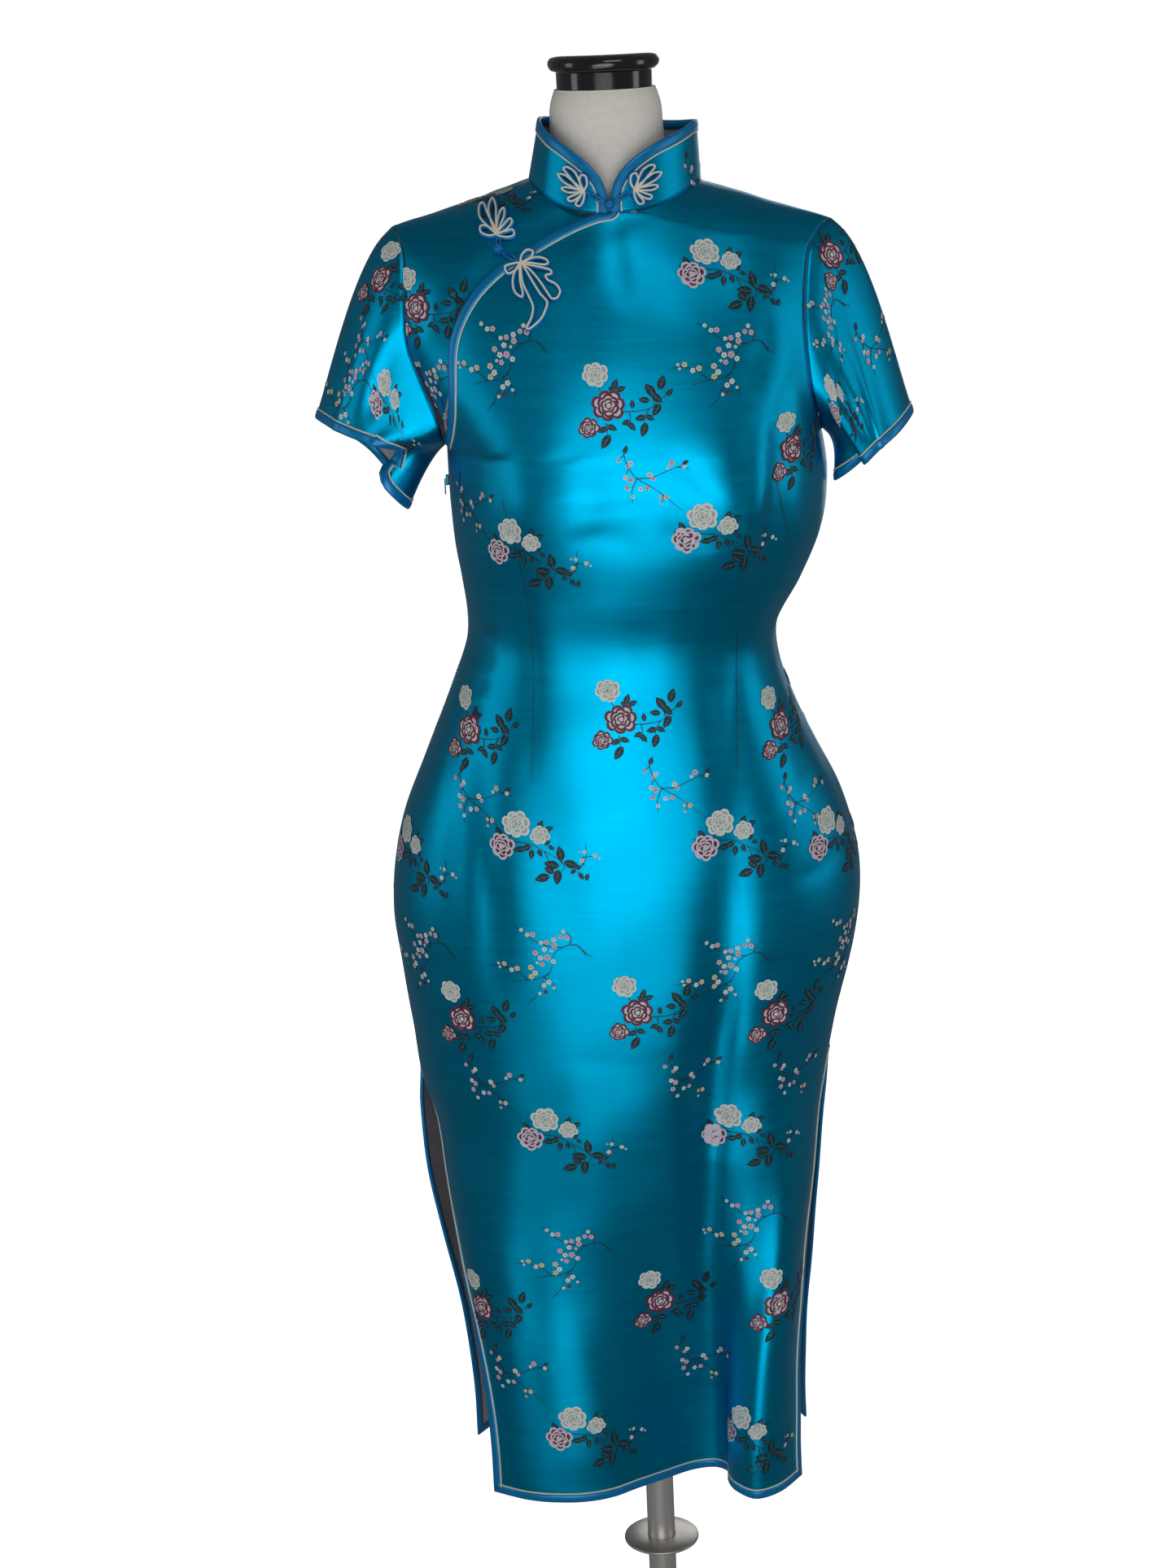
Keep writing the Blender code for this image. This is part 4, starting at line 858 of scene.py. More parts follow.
def newGroup(name, inputs, outputs):
    group = bpy.data.node_groups.new(name, "ShaderNodeTree")
    for label, kind, value in inputs:
        socket = group.interface.new_socket(name=label, in_out="INPUT", socket_type=kind)
        if value is not None:
            socket.default_value = value
    for label, kind in outputs:
        group.interface.new_socket(name=label, in_out="OUTPUT", socket_type=kind)
    return group, group.nodes, group.links


def setInputs(node, values):
    for label, value in values.items():
        node.inputs[label].default_value = value


def scaledVector(nodes, links, source, scale):
    node = nodes.new("ShaderNodeVectorMath")
    node.operation = "MULTIPLY"
    node.inputs[1].default_value = scale
    links.new(source, node.inputs[0])
    return node.outputs[0]


def mathNode(nodes, links, operation, first, second=None, third=None):
    node = nodes.new("ShaderNodeMath")
    node.operation = operation
    for socket, value in zip(node.inputs, (first, second, third)):
        if value is None:
            continue
        if isinstance(value, (int, float)):
            socket.default_value = value
        else:
            links.new(value, socket)
    return node.outputs[0]


def mixColor(nodes, links, factor, low, high):
    node = nodes.new("ShaderNodeMix")
    node.data_type = "RGBA"
    for socket, value in zip((node.inputs[0], node.inputs[6], node.inputs[7]), (factor, low, high)):
        if isinstance(value, (int, float, tuple)):
            socket.default_value = value
        else:
            links.new(value, socket)
    return node.outputs[2]


def weaveGroup():
    # Fine threads both ways, with slubs that run along the weft. Scales are per metre.
    group, nodes, links = newGroup(
        "threadWeave",
        (("Vector", "NodeSocketVector", None), ("Warp", "NodeSocketFloat", 900.0),
         ("Weft", "NodeSocketFloat", 700.0), ("Slub", "NodeSocketFloat", 60.0)),
        (("Height", "NodeSocketFloat"), ("Shade", "NodeSocketFloat")))
    inputs = nodes.new("NodeGroupInput")
    outputs = nodes.new("NodeGroupOutput")
    threads = []
    for label, direction, distortion in (("Warp", "X", 0.6), ("Weft", "Y", 0.5)):
        wave = nodes.new("ShaderNodeTexWave")
        wave.bands_direction = direction
        links.new(inputs.outputs["Vector"], wave.inputs["Vector"])
        links.new(inputs.outputs[label], wave.inputs["Scale"])
        setInputs(wave, {"Distortion": distortion, "Detail": 0.0})
        threads.append(wave.outputs["Fac"])
    warp, weft = threads
    stretched = scaledVector(nodes, links, inputs.outputs["Vector"], (0.25, 4.0, 1.0))
    slub = nodes.new("ShaderNodeTexNoise")
    links.new(stretched, slub.inputs["Vector"])
    links.new(inputs.outputs["Slub"], slub.inputs["Scale"])
    slub.inputs["Detail"].default_value = 3.0
    both = mathNode(nodes, links, "MULTIPLY_ADD", weft, 0.5, warp)
    height = mathNode(nodes, links, "MULTIPLY_ADD", slub.outputs["Fac"], 0.8, both)
    links.new(height, outputs.inputs["Height"])
    links.new(slub.outputs["Fac"], outputs.inputs["Shade"])
    return group


threadWeave = weaveGroup()


def placeWeave(nodes, links, vector, warp, weft, slub):
    node = nodes.new("ShaderNodeGroup")
    node.node_tree = threadWeave
    setInputs(node, {"Warp": warp, "Weft": weft, "Slub": slub})
    links.new(vector, node.inputs["Vector"])
    return node


def addBump(nodes, links, shader, height, strength, distance):
    bump = nodes.new("ShaderNodeBump")
    setInputs(bump, {"Strength": strength, "Distance": distance})
    links.new(height, bump.inputs["Height"])
    links.new(bump.outputs["Normal"], shader.inputs["Normal"])


def streakedTone(nodes, links, shader, stretch, scale, detail, low, high):
    # Two tones in stretched noise on the object's own axes. Gives back the noise.
    source = nodes.new("ShaderNodeTexCoord").outputs["Object"]
    noise = nodes.new("ShaderNodeTexNoise")
    setInputs(noise, {"Scale": scale, "Detail": detail})
    links.new(scaledVector(nodes, links, source, stretch), noise.inputs["Vector"])
    tone = mixColor(nodes, links, noise.outputs["Fac"], (*low, 1.0), (*high, 1.0))
    links.new(tone, shader.inputs["Base Color"])
    return noise.outputs["Fac"]


def wovenCloth(name, low, high, roughness, metallic, sheen=0.0, pitch=(900.0, 700.0, 60.0),
               strength=0.12, uv=None, specular=0.5):
    # Woven cloth between two tones. The weave follows the piece's own UV map where it has one.
    material, nodes, links, shader = newMaterial(name)
    if uv:
        source = nodes.new("ShaderNodeUVMap")
        source.uv_map = uv
        vector = source.outputs["UV"]
    else:
        vector = nodes.new("ShaderNodeTexCoord").outputs["Object"]
    weave = placeWeave(nodes, links, vector, *pitch)
    tone = mixColor(nodes, links, weave.outputs["Shade"], (*low, 1.0), (*high, 1.0))
    links.new(tone, shader.inputs["Base Color"])
    rough = mathNode(
        nodes, links, "MULTIPLY_ADD", weave.outputs["Shade"], 0.12, roughness - 0.06)
    links.new(rough, shader.inputs["Roughness"])
    setInputs(shader, {"Metallic": metallic, "Sheen Weight": sheen, "Sheen Roughness": 0.5,
                       "Specular IOR Level": specular})
    addBump(nodes, links, shader, weave.outputs["Height"], strength, 0.0002)
    return material


brocadeSatin = wovenCloth(
    "brocadeSatin", (0.0, 0.32, 0.56), (0.0, 0.42, 0.70), 0.38, 1.0, uv="cloth",
    pitch=(870.0, 640.0, 70.0), strength=0.10)
satinReverse = wovenCloth(
    "satinReverse", (0.30, 0.30, 0.36), (0.42, 0.42, 0.50), 0.55, 0.0, sheen=0.2, uv="cloth")
blueBinding = wovenCloth(
    "blueBinding", (0.0, 0.20, 0.50), (0.0, 0.27, 0.60), 0.32, 0.35, pitch=(620.0, 800.0, 90.0))
creamPiping = wovenCloth(
    "creamPiping", (0.72, 0.66, 0.50), (0.84, 0.79, 0.64), 0.42, 0.0, sheen=0.15,
    pitch=(1200.0, 900.0, 120.0))
blueCord = wovenCloth(
    "blueCord", (0.0, 0.17, 0.46), (0.0, 0.24, 0.56), 0.36, 0.25, pitch=(1300.0, 1100.0, 120.0),
    strength=0.2)
creamCord = wovenCloth(
    "creamCord", (0.80, 0.74, 0.58), (0.90, 0.86, 0.72), 0.40, 0.0, sheen=0.15,
    pitch=(1500.0, 1200.0, 120.0), strength=0.2)
print("cloth materials made")


# Soft folds of the front, seen from the front: line of x, z places, width, depth
frontFolds = (
    (((0.002, 1.372), (0.005, 1.340), (0.008, 1.306)), 0.008, -0.0015),
    (((-0.045, 1.128), (-0.015, 1.133), (0.012, 1.126)), 0.010, -0.0016),
    (((0.030, 1.137), (0.052, 1.130), (0.072, 1.118)), 0.009, -0.0014),
    (((0.070, 1.088), (0.085, 1.070), (0.092, 1.045)), 0.009, -0.0018),
    (((0.114, 1.215), (0.108, 1.160), (0.095, 1.100), (0.080, 1.060)), 0.008, 0.0024),
    (((0.128, 1.212), (0.124, 1.160), (0.112, 1.100), (0.098, 1.060)), 0.012, -0.0036),
    (((-0.097, 1.180), (-0.083, 1.113), (-0.077, 1.067), (-0.081, 0.930)), 0.0045, -0.0011),
    (((0.090, 1.045), (0.087, 1.000), (0.085, 0.930)), 0.0045, -0.0011),
    (((0.122, 1.168), (0.128, 1.135), (0.134, 1.098)), 0.005, -0.0012),
    (((-0.120, 0.985), (-0.123, 0.900), (-0.118, 0.820), (-0.120, 0.740)), 0.012, -0.0028),
    (((-0.142, 0.960), (-0.148, 0.880), (-0.150, 0.790)), 0.010, -0.0016),
    (((0.075, 1.005), (0.080, 0.930), (0.078, 0.850), (0.068, 0.740), (0.060, 0.590)),
     0.017, -0.0040),
    (((0.118, 0.760), (0.112, 0.640), (0.108, 0.480), (0.106, 0.320)), 0.014, 0.0030),
    (((0.020, 0.700), (0.016, 0.560), (0.010, 0.420), (0.006, 0.300)), 0.024, -0.0030),
    (((-0.040, 0.690), (-0.048, 0.560), (-0.052, 0.430), (-0.050, 0.300)), 0.026, 0.0028),
    (((-0.095, 0.640), (-0.100, 0.520), (-0.104, 0.400), (-0.110, 0.300)), 0.018, -0.0024),
    (((-0.062, 1.156), (-0.020, 1.153), (0.030, 1.158)), 0.004, -0.0006),
    (((0.052, 1.187), (0.066, 1.168), (0.079, 1.148)), 0.004, -0.0007),
    (((0.040, 1.200), (0.058, 1.176), (0.068, 1.158)), 0.0035, -0.0005),
    (((-0.128, 1.046), (-0.118, 1.040), (-0.104, 1.044)), 0.006, -0.0018),
    (((-0.132, 1.024), (-0.120, 1.020), (-0.106, 1.022)), 0.006, -0.0016),
    (((-0.136, 1.002), (-0.126, 0.999), (-0.112, 1.003)), 0.006, -0.0018),
    (((-0.142, 0.980), (-0.132, 0.978), (-0.120, 0.981)), 0.006, -0.0014),
    (((0.132, 1.030), (0.118, 1.022), (0.104, 1.020)), 0.005, -0.0010),
    (((0.150, 0.920), (0.136, 0.905), (0.120, 0.898)), 0.007, -0.0012),
    (((0.170, 0.850), (0.150, 0.838), (0.128, 0.834)), 0.008, -0.0010),
    (((0.120, 1.290), (0.112, 1.262), (0.100, 1.236)), 0.010, -0.0012),
    (((0.140, 1.250), (0.130, 1.225), (0.122, 1.195)), 0.008, -0.0016),
    (((-0.130, 1.235), (-0.122, 1.210), (-0.110, 1.190)), 0.008, -0.0012),
)

# Soft folds of the back, seen from the front
backFolds = (
    (((-0.078, 1.130), (-0.074, 1.050), (-0.078, 0.930)), 0.0045, -0.0012),
    (((0.078, 1.130), (0.076, 1.050), (0.080, 0.930)), 0.0045, -0.0012),
    (((-0.120, 1.075), (-0.080, 1.052), (-0.030, 1.046)), 0.009, -0.0020),
    (((0.118, 1.062), (0.070, 1.044), (0.024, 1.040)), 0.008, -0.0018),
    (((-0.105, 1.018), (-0.060, 1.006), (-0.010, 1.010)), 0.008, -0.0016),
    (((0.105, 1.010), (0.060, 0.998), (0.015, 1.000)), 0.007, -0.0014),
    (((-0.060, 0.790), (-0.066, 0.640), (-0.058, 0.470), (-0.062, 0.300)), 0.022, 0.0040),
    (((0.052, 0.780), (0.058, 0.620), (0.052, 0.450), (0.060, 0.300)), 0.022, 0.0038),
    (((-0.004, 0.770), (0.000, 0.600), (-0.006, 0.440), (0.000, 0.300)), 0.020, -0.0040),
    (((-0.118, 0.700), (-0.126, 0.560), (-0.120, 0.420)), 0.018, -0.0030),
    (((0.112, 0.690), (0.110, 0.540), (0.104, 0.400)), 0.018, -0.0028),
    (((-0.140, 1.230), (-0.118, 1.200), (-0.104, 1.150)), 0.010, -0.0018),
    (((0.142, 1.228), (0.122, 1.196), (0.108, 1.150)), 0.010, -0.0018),
    (((-0.050, 1.340), (0.000, 1.330), (0.052, 1.342)), 0.009, -0.0009),
)

# Drape folds of the sleeves: share round from the underarm over the front, start and end
# shares down the sleeve, width as a share round, depth. They grow over the first part of
# their run and fade over the last
sleeveFold = {"grow": 1.5, "fadeFrom": 0.6, "clearOfSeam": 8}
sleeveFoldsRight = (
    (0.12, 0.10, 1.00, 0.020, -0.0030), (0.20, 0.25, 1.00, 0.022, 0.0022),
    (0.30, 0.05, 0.85, 0.020, -0.0018), (0.39, 0.35, 1.00, 0.024, 0.0014),
    (0.62, 0.20, 1.00, 0.024, -0.0020), (0.72, 0.10, 0.90, 0.022, 0.0020),
    (0.83, 0.05, 1.00, 0.022, -0.0026), (0.93, 0.15, 1.00, 0.018, 0.0016),
)
sleeveFoldsLeft = (
    (0.10, 0.10, 1.00, 0.020, -0.0026), (0.17, 0.20, 1.00, 0.018, 0.0024),
    (0.26, 0.05, 0.90, 0.020, -0.0024), (0.36, 0.30, 1.00, 0.022, 0.0016),
    (0.64, 0.15, 1.00, 0.024, -0.0022), (0.75, 0.10, 0.90, 0.022, 0.0018),
    (0.85, 0.05, 1.00, 0.020, -0.0024), (0.94, 0.15, 1.00, 0.018, 0.0016),
)


def sleeveEdges(points, out, side, first):
    # The armhole's edge on the front or back panel's grid, from the underarm to the shoulder.
    column = 0 if side < 0 else -1
    return points[first:, column], out[first:, column]


def rightFrontEdge():
    # The armhole's edge on the small front, at the same rows as on the other panels.
    places = [placeOnBody(x, z) for x, z in armholeFrontRight]
    edge = []
    out = []
    for row in (0.0,) + upperRows:
        angle, level = along(places, row)
        edge.append(bodyPoint(angle, row=min(max(level, 0.0), 1.0)))
        out.append(bodyOut(angle, level))
    return np.array(edge), np.array(out)


def sleeveGrid(frontEdge, backEdge, hem, side):
    # Rings from the armhole to the hem, as points and outward directions.
    frontLine, frontOut = frontEdge
    backLine, backOut = backEdge
    armhole = np.concatenate((frontLine, backLine[-2:0:-1]))
    seamOut = unit(np.concatenate((frontOut, backOut[-2:0:-1])))
    around = np.roll(armhole, -1, axis=0) - np.roll(armhole, 1, axis=0)
    intoHole = unit(np.cross(seamOut, around)) * side
    if np.dot(intoHole[0], armhole.mean(axis=0) - armhole[0]) < 0:
        intoHole = -intoHole
    rows = (0.0,) + upperRows
    shares = [row / 2 for row in rows] + [1 - row / 2 for row in rows[-2:0:-1]]
    hemLoop = closedCurve(hem, shares)
    gaps = np.full(len(armhole), cloth["seamGap"])
    rings, out = sleeveRings(armhole, hemLoop, intoHole, gaps, side)
    lean = np.maximum((out[0] * intoHole).sum(axis=1), 0.0)
    return sleeveRings(armhole, hemLoop, intoHole, gaps + cloth["wall"] * lean, side)


def pressSleeve(points, out, folds):
    # Folds that run down the sleeve, clear of the armhole's seam.
    rows, columns = points.shape[:2]
    around = np.linspace(0.0, 1.0, columns)[None, :]
    down = np.linspace(0.0, 1.0, rows)[:, None]
    height = np.zeros((rows, columns))
    for place, start, end, width, depth in folds:
        gap = np.abs(around - place)
        gap = np.minimum(gap, 1.0 - gap)
        run = np.clip((down - start) / (end - start), 0.0, 1.0)
        fade = np.sin(np.minimum(run * sleeveFold["grow"], 1.0) * pi / 2)
        if end < 1.0:
            late = (run - sleeveFold["fadeFrom"]) / (1.0 - sleeveFold["fadeFrom"])
            fade = fade * np.cos(np.clip(late, 0.0, 1.0) * pi / 2)
        clear = np.clip(down * sleeveFold["clearOfSeam"], 0.0, 1.0)
        height += depth * np.exp(-(gap / width) ** 2) * fade * clear
    moved = points + out * height[..., None]
    return moved, turnedOut(moved, out)


def collarGrid():
    # The collar's outer face. Its foot reaches a little under the seam.
    turns = np.array(collarTurns)
    middle = []
    out = []
    for share in collarShares:
        heights = [collarTop(t) * share - collarFoot * (1.0 - share) for t in turns]
        middle.append([collarPoint(t, height) for t, height in zip(turns, heights)])
        out.append([collarOut(t, max(height, 0.0)) for t, height in zip(turns, heights)])
    middle = np.array(middle)
    out = np.array(out)
    return middle + out * collarWall / 2, out


frontCoarse, frontCoarseOut = panelPoints(skirtFront, frontPlace, frontShares)
backCoarse, backCoarseOut = panelPoints(skirtBack, backPlace, backShares)
print("panel stations worked out")


def foldedPanel(name, node, points, out, folds):
    points, out = fineGrid(seamSide(points, ("u0", "u1", "v1")), out)
    return layPanel(name, node, *pressFolds(points, out, folds))


frontPanel = foldedPanel("front_cloth", "front_panel", frontCoarse, frontCoarseOut, frontFolds)
backPanel = foldedPanel("back_cloth", "back_panel", backCoarse, backCoarseOut, backFolds)

yokeCoarse, yokeCoarseOut = upperPoints(
    yokePlace, [yokeShare(row) for row in upperRows], yokeShares)
yokeSunk = np.array([[underFront(point) for point in line] for line in yokeCoarse])
yokeCoarse = yokeCoarse - yokeCoarseOut * yokeSunk[:, :, None] * cloth["underlapDrop"]
yokePanel = layPanel(
    "right_yoke_cloth", "right_yoke",
    *fineGrid(seamSide(yokeCoarse, ("u0", "v1")), yokeCoarseOut, cell=cloth["yokeCell"]))

firstUpper = len(skirtHeights) + len(tubeHeights) - 1
sleeves = {}
for name, frontEdge, hem, side, folds in (
        ("right_sleeve", rightFrontEdge(), sleeveHemRight, -1, sleeveFoldsRight),
        ("left_sleeve", sleeveEdges(frontCoarse, frontCoarseOut, 1, firstUpper),
         sleeveHemLeft, 1, sleeveFoldsLeft)):
    backEdge = sleeveEdges(backCoarse, backCoarseOut, side, firstUpper)
    rings, ringsOut = sleeveGrid(frontEdge, backEdge, hem, side)
    rings, ringsOut = fineGrid(rings, ringsOut, closed=True, cell=sleeveShape["cell"])
    rings, ringsOut = pressSleeve(rings, ringsOut, folds)
    sleeves[name] = layPanel(name + "_cloth", name, rings[::-1], ringsOut[::-1], closed=True)

collarPanel = layPanel(
    "collar_cloth", "collar", *fineGrid(*collarGrid(), cell=cloth["collarCell"]))
print("satin pieces laid")


# Satin binding folded over the edge and the piping beside it: distance in, height over the
# cloth. The placket's band ends at the neckline in an arc, swung through so many degrees
bindingOutline = (
    (0.0070, 0.0001), (0.0068, 0.0007), (0.0050, 0.00105), (0.0022, 0.00105), (0.0005, 0.00085),
    (-0.00045, 0.00015), (-0.0005, -0.0011), (0.0001, -0.0019), (0.0030, -0.0020),
    (0.0068, -0.00185), (0.0068, -0.0013), (0.0030, -0.00135), (0.0003, -0.00125),
    (0.00005, -0.0006), (0.0003, 0.00005), (0.0030, 0.00005),
)
trim = {"onEdge": 0.0004, "look": 0.012, "neckRows": 5, "swing": 70, "swingSteps": 8,
        "openingStart": 0.006}
piping = {"inset": 0.0078, "over": 0.0004, "radius": 0.00068, "sides": 8}


def edgeWays(line, outs, middle, closed):
    # Mitred directions into the cloth, square to its edge.
    steps = unit(np.diff(line, axis=0))
    before = np.concatenate((steps[:1], steps))
    after = np.concatenate((steps, steps[-1:]))
    if closed:
        before[0] = steps[-1]
        after[-1] = steps[0]
    square = unit(np.cross(outs, before))
    ways = unit(square + unit(np.cross(outs, after)))
    ways /= np.maximum((ways * square).sum(axis=1, keepdims=True), 0.5)
    if ((middle - line) * ways).sum() < 0:
        ways = -ways
    return ways


def swungEnd(line, outs, ways):
    # Swings the last direction about the line's end, so that the band ends in an arc.
    last = Vector(ways[-1])
    for k in range(1, trim["swingSteps"] + 1):
        turn = radians(trim["swing"]) * k / trim["swingSteps"]
        line.append(line[-1])
        outs.append(outs[-1])
        ways.append(Matrix.Rotation(turn, 3, Vector(outs[-1])) @ last)


def trimRings(panel, line, outs, ways, outline):
    # One ring of places for each point of the edge.
    rings = []
    for spot, out, way in zip(line, outs, ways):
        out = Vector(out)
        ring = []
        for inset, over in outline:
            place = Vector(spot) + Vector(way) * inset
            if inset > trim["onEdge"]:
                start = place + out * trim["look"]
                place = panel["solidTree"].ray_cast(start, -out, 2 * trim["look"])[0] or place
            ring.append(place + out * over)
        rings.append(ring)
    return np.array(rings)


def tubeOf(name, rings, material, closed):
    # Closes rings into one solid band or cord.
    rings = np.concatenate((rings, rings[:, :1]), axis=1)
    if closed:
        rings[-1] = rings[0]
    bm = gridOf(rings)
    bmesh.ops.remove_doubles(bm, verts=bm.verts, dist=0.000002)
    if not closed:
        ends = [edge for edge in bm.edges if edge.is_boundary]
        bmesh.ops.holes_fill(bm, edges=ends, sides=0)
    bmesh.ops.recalc_face_normals(bm, faces=bm.faces)
    piece = newPiece(name, bm, (material,))
    shadeSoft(piece)
    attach(piece, "dress_and_form")
    return piece


def pipingOutline():
    turns = [2 * pi * i / piping["sides"] for i in range(piping["sides"])]
    return [(piping["inset"] + piping["radius"] * cos(a),
             piping["over"] + piping["radius"] * sin(a)) for a in turns]


def bindEdge(name, panel, cells, closed=False, swing=False):
    # The band and its piping along an edge that is given by rows and columns.
    rows, columns = zip(*cells)
    line = panel["points"][rows, columns]
    outs = panel["out"][rows, columns].copy()
    if swing:
        # The last rows at the neckline keep the direction of the cloth below them.
        outs[-trim["neckRows"]:] = outs[-trim["neckRows"] - 1]
    middle = panel["points"].reshape(-1, 3).mean(axis=0)
    ways = list(edgeWays(line, outs, middle, closed))
    line = list(line)
    outs = list(outs)
    if swing:
        swungEnd(line, outs, ways)
    made = []
    for kind, node, outline, material in (
            ("_satin_binding", "_binding", bindingOutline, blueBinding),
            ("_round_piping", "_piping", pipingOutline(), creamPiping)):
        rings = trimRings(panel, line, outs, ways, outline)
        made.append(tubeOf(name + kind, rings, material, closed))
        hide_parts(name + node)
    return made


def hemCells(panel):
    # Down one slit, along the hem and up the other slit.
    points = panel["points"]
    tops = [int(np.argmin(np.abs(points[:, j, 2] - slitTopZ))) for j in (0, -1)]
    right = [(i, 0) for i in range(tops[0], 0, -1)]
    hem = [(0, j) for j in range(points.shape[1])]
    return right + hem + [(i, -1) for i in range(1, tops[1] + 1)]


def placketCells(panel):
    # The slanted edge of the front, from beside the underarm to the neckline.
    edge = panel["points"][:, 0]
    first = int(np.argmax(edge[:, 2] > underarmZ + trim["openingStart"]))
    last = int(np.argmin(np.linalg.norm(edge - neckPoint(-neckEndAngle), axis=1)))
    return [(i, 0) for i in range(first, last + 1)]


def collarCells(panel):
    # Up one front edge, round the top and down the other front edge.
    rows, columns = panel["points"].shape[:2]
    right = [(i, 0) for i in range(rows - 1)]
    top = [(rows - 1, j) for j in range(columns)]
    return right + top + [(i, columns - 1) for i in range(rows - 2, -1, -1)]


trims = {
    "front_hem": bindEdge("front_hem", frontPanel, hemCells(frontPanel)),
    "back_hem": bindEdge("back_hem", backPanel, hemCells(backPanel)),
    "placket": bindEdge("placket", frontPanel, placketCells(frontPanel), swing=True),
}
for name, panel in sleeves.items():
    hem = [(0, j) for j in range(panel["points"].shape[1])]
    trims[name] = bindEdge(name, panel, hem, closed=True)
trims["collar"] = bindEdge("collar", collarPanel, collarCells(collarPanel))
print("bindings and pipings laid")


def silkThread(name, low, high):
    # Silk weft floats of one colour: short streaks across the flower.
    material, nodes, links, shader = newMaterial(name)
    streaks = streakedTone(nodes, links, shader, (0.4, 0.4, 1.6), 900.0, 2.0, low, high)
    setInputs(shader, {"Roughness": 0.5, "Sheen Weight": 0.1, "Specular IOR Level": 0.35})
    addBump(nodes, links, shader, streaks, 0.25, 0.0002)
    return material


silks = {
    "white": silkThread("silkWhite", (0.62, 0.66, 0.62), (0.86, 0.88, 0.84)),
    "grey": silkThread("silkGrey", (0.30, 0.38, 0.34), (0.50, 0.57, 0.51)),
    "lilac": silkThread("silkLilac", (0.55, 0.48, 0.58), (0.78, 0.72, 0.80)),
    "maroon": silkThread("silkMaroon", (0.08, 0.012, 0.030), (0.17, 0.035, 0.065)),
    "leaf": silkThread("silkLeaf", (0.002, 0.010, 0.016), (0.006, 0.030, 0.040)),
    "vein": silkThread("silkVein", (0.02, 0.14, 0.19), (0.05, 0.24, 0.30)),
    "pink": silkThread("silkPink", (0.58, 0.36, 0.46), (0.76, 0.54, 0.62)),
    "cream": silkThread("silkCream", (0.60, 0.50, 0.30), (0.80, 0.70, 0.48)),
    "twig": silkThread("silkTwig", (0.003, 0.022, 0.036), (0.010, 0.055, 0.075)),
}
silkNames = list(silks)
flower = {"lift": 0.00016, "layer": 0.00007, "sides": 12, "stem": 0.80, "vein": 0.50,
          "sideVein": 0.30, "leafWidth": 0.56, "veinedFrom": 8.0, "veinLean": 0.85,
          "petals": 5, "petalReach": 0.60, "petalRound": 0.46}

# Outlines of leaf and petal, the unevenness of a rose and the share of its petals' fill
leafOutline = {"blunt": 0.35, "taper": 0.25, "bend": 0.02, "tip": 0.40, "foot": 0.52}
petalOutline = {"middle": 0.78, "end": 0.22}
rose = {"uneven": 0.10, "beat": 2.3, "flat": 0.92, "inward": 0.03, "fill": 0.74,
        "paleFill": 0.68, "fillWide": 0.70}

# Side veins of a leaf: place along it as a share of its length, side, length as a share
sideVeins = ((-0.16, 1, 0.24), (-0.10, -1, 0.24), (0.10, 1, 0.18), (0.16, -1, 0.18))

# Colours of a rose: outer petals, their fill, the heart
roseTones = {"white": ("white", "grey", "white"), "mauve": ("lilac", "maroon", "lilac"),
             "pale": ("maroon", "lilac", "white")}

# Rings of a rose from the outside in: petals, reach, length and width as shares, first angle
roseRings = (
    (7, 0.31, 0.42, 0.46, 0), (6, 0.21, 0.34, 0.38, 24), (5, 0.12, 0.26, 0.28, 8),
    (3, 0.05, 0.17, 0.18, 40),
)

# Two rose sprays and two blossom branches, in millimetres from their middles
roseSpray = {
    "stems": (
        ((-26.0, 4.0), (-12.0, 3.0), (-2.6, 1.9), (9.0, -4.0), (21.2, -11.0), (44.9, -28.3)),
        ((9.0, -4.0), (12.0, -12.0), (9.0, -21.0)), ((21.2, -11.0), (25.0, -17.0), (19.0, -24.0)),
        ((36.0, -20.0), (42.7, -10.0), (43.0, 3.0)), ((39.5, -9.0), (47.0, -8.0), (54.0, -10.0)),
        ((-26.0, 4.0), (-29.0, 9.0)),
    ),
    "leaves": (
        (-29.6, 9.6, 118, 9.5), (-33.0, 5.4, 160, 7.0), (-5.8, -1.3, 200, 9.0),
        (-1.5, -6.6, 262, 8.5), (-11.2, -2.8, 188, 9.5), (5.5, -5.5, 300, 7.0),
        (6.5, 17.1, 62, 9.0), (13.5, 14.4, 20, 8.0), (12.0, 3.0, 40, 6.0), (15.0, -1.0, 330, 6.0),
        (22.2, -5.7, 100, 12.5), (30.8, -14.6, 344, 12.5), (14.7, -15.0, 168, 13.0),
        (19.0, -25.4, 262, 13.0), (6.6, -26.0, 196, 13.0), (12.6, -19.6, 150, 9.5),
        (38.4, -24.5, 300, 7.0), (32.0, -20.7, 220, 6.0), (36.0, -17.0, 30, 5.5),
        (43.0, -25.5, 250, 6.5),
    ),
    "roses": ((-13.4, 17.6, 23.0, "white", 12), (6.0, 9.2, 15.5, "white", 40),
              (-26.8, -1.0, 22.0, "mauve", -35)),
    "blossoms": (
        (42.1, -4.2, 1.6, "white"), (50.3, -7.4, 1.9, "white"), (53.6, -9.5, 1.1, "white"),
        (39.5, -11.5, 2.0, "white"), (40.6, -14.2, 1.2, "maroon"), (38.4, -3.8, 1.0, "cream"),
    ),
}
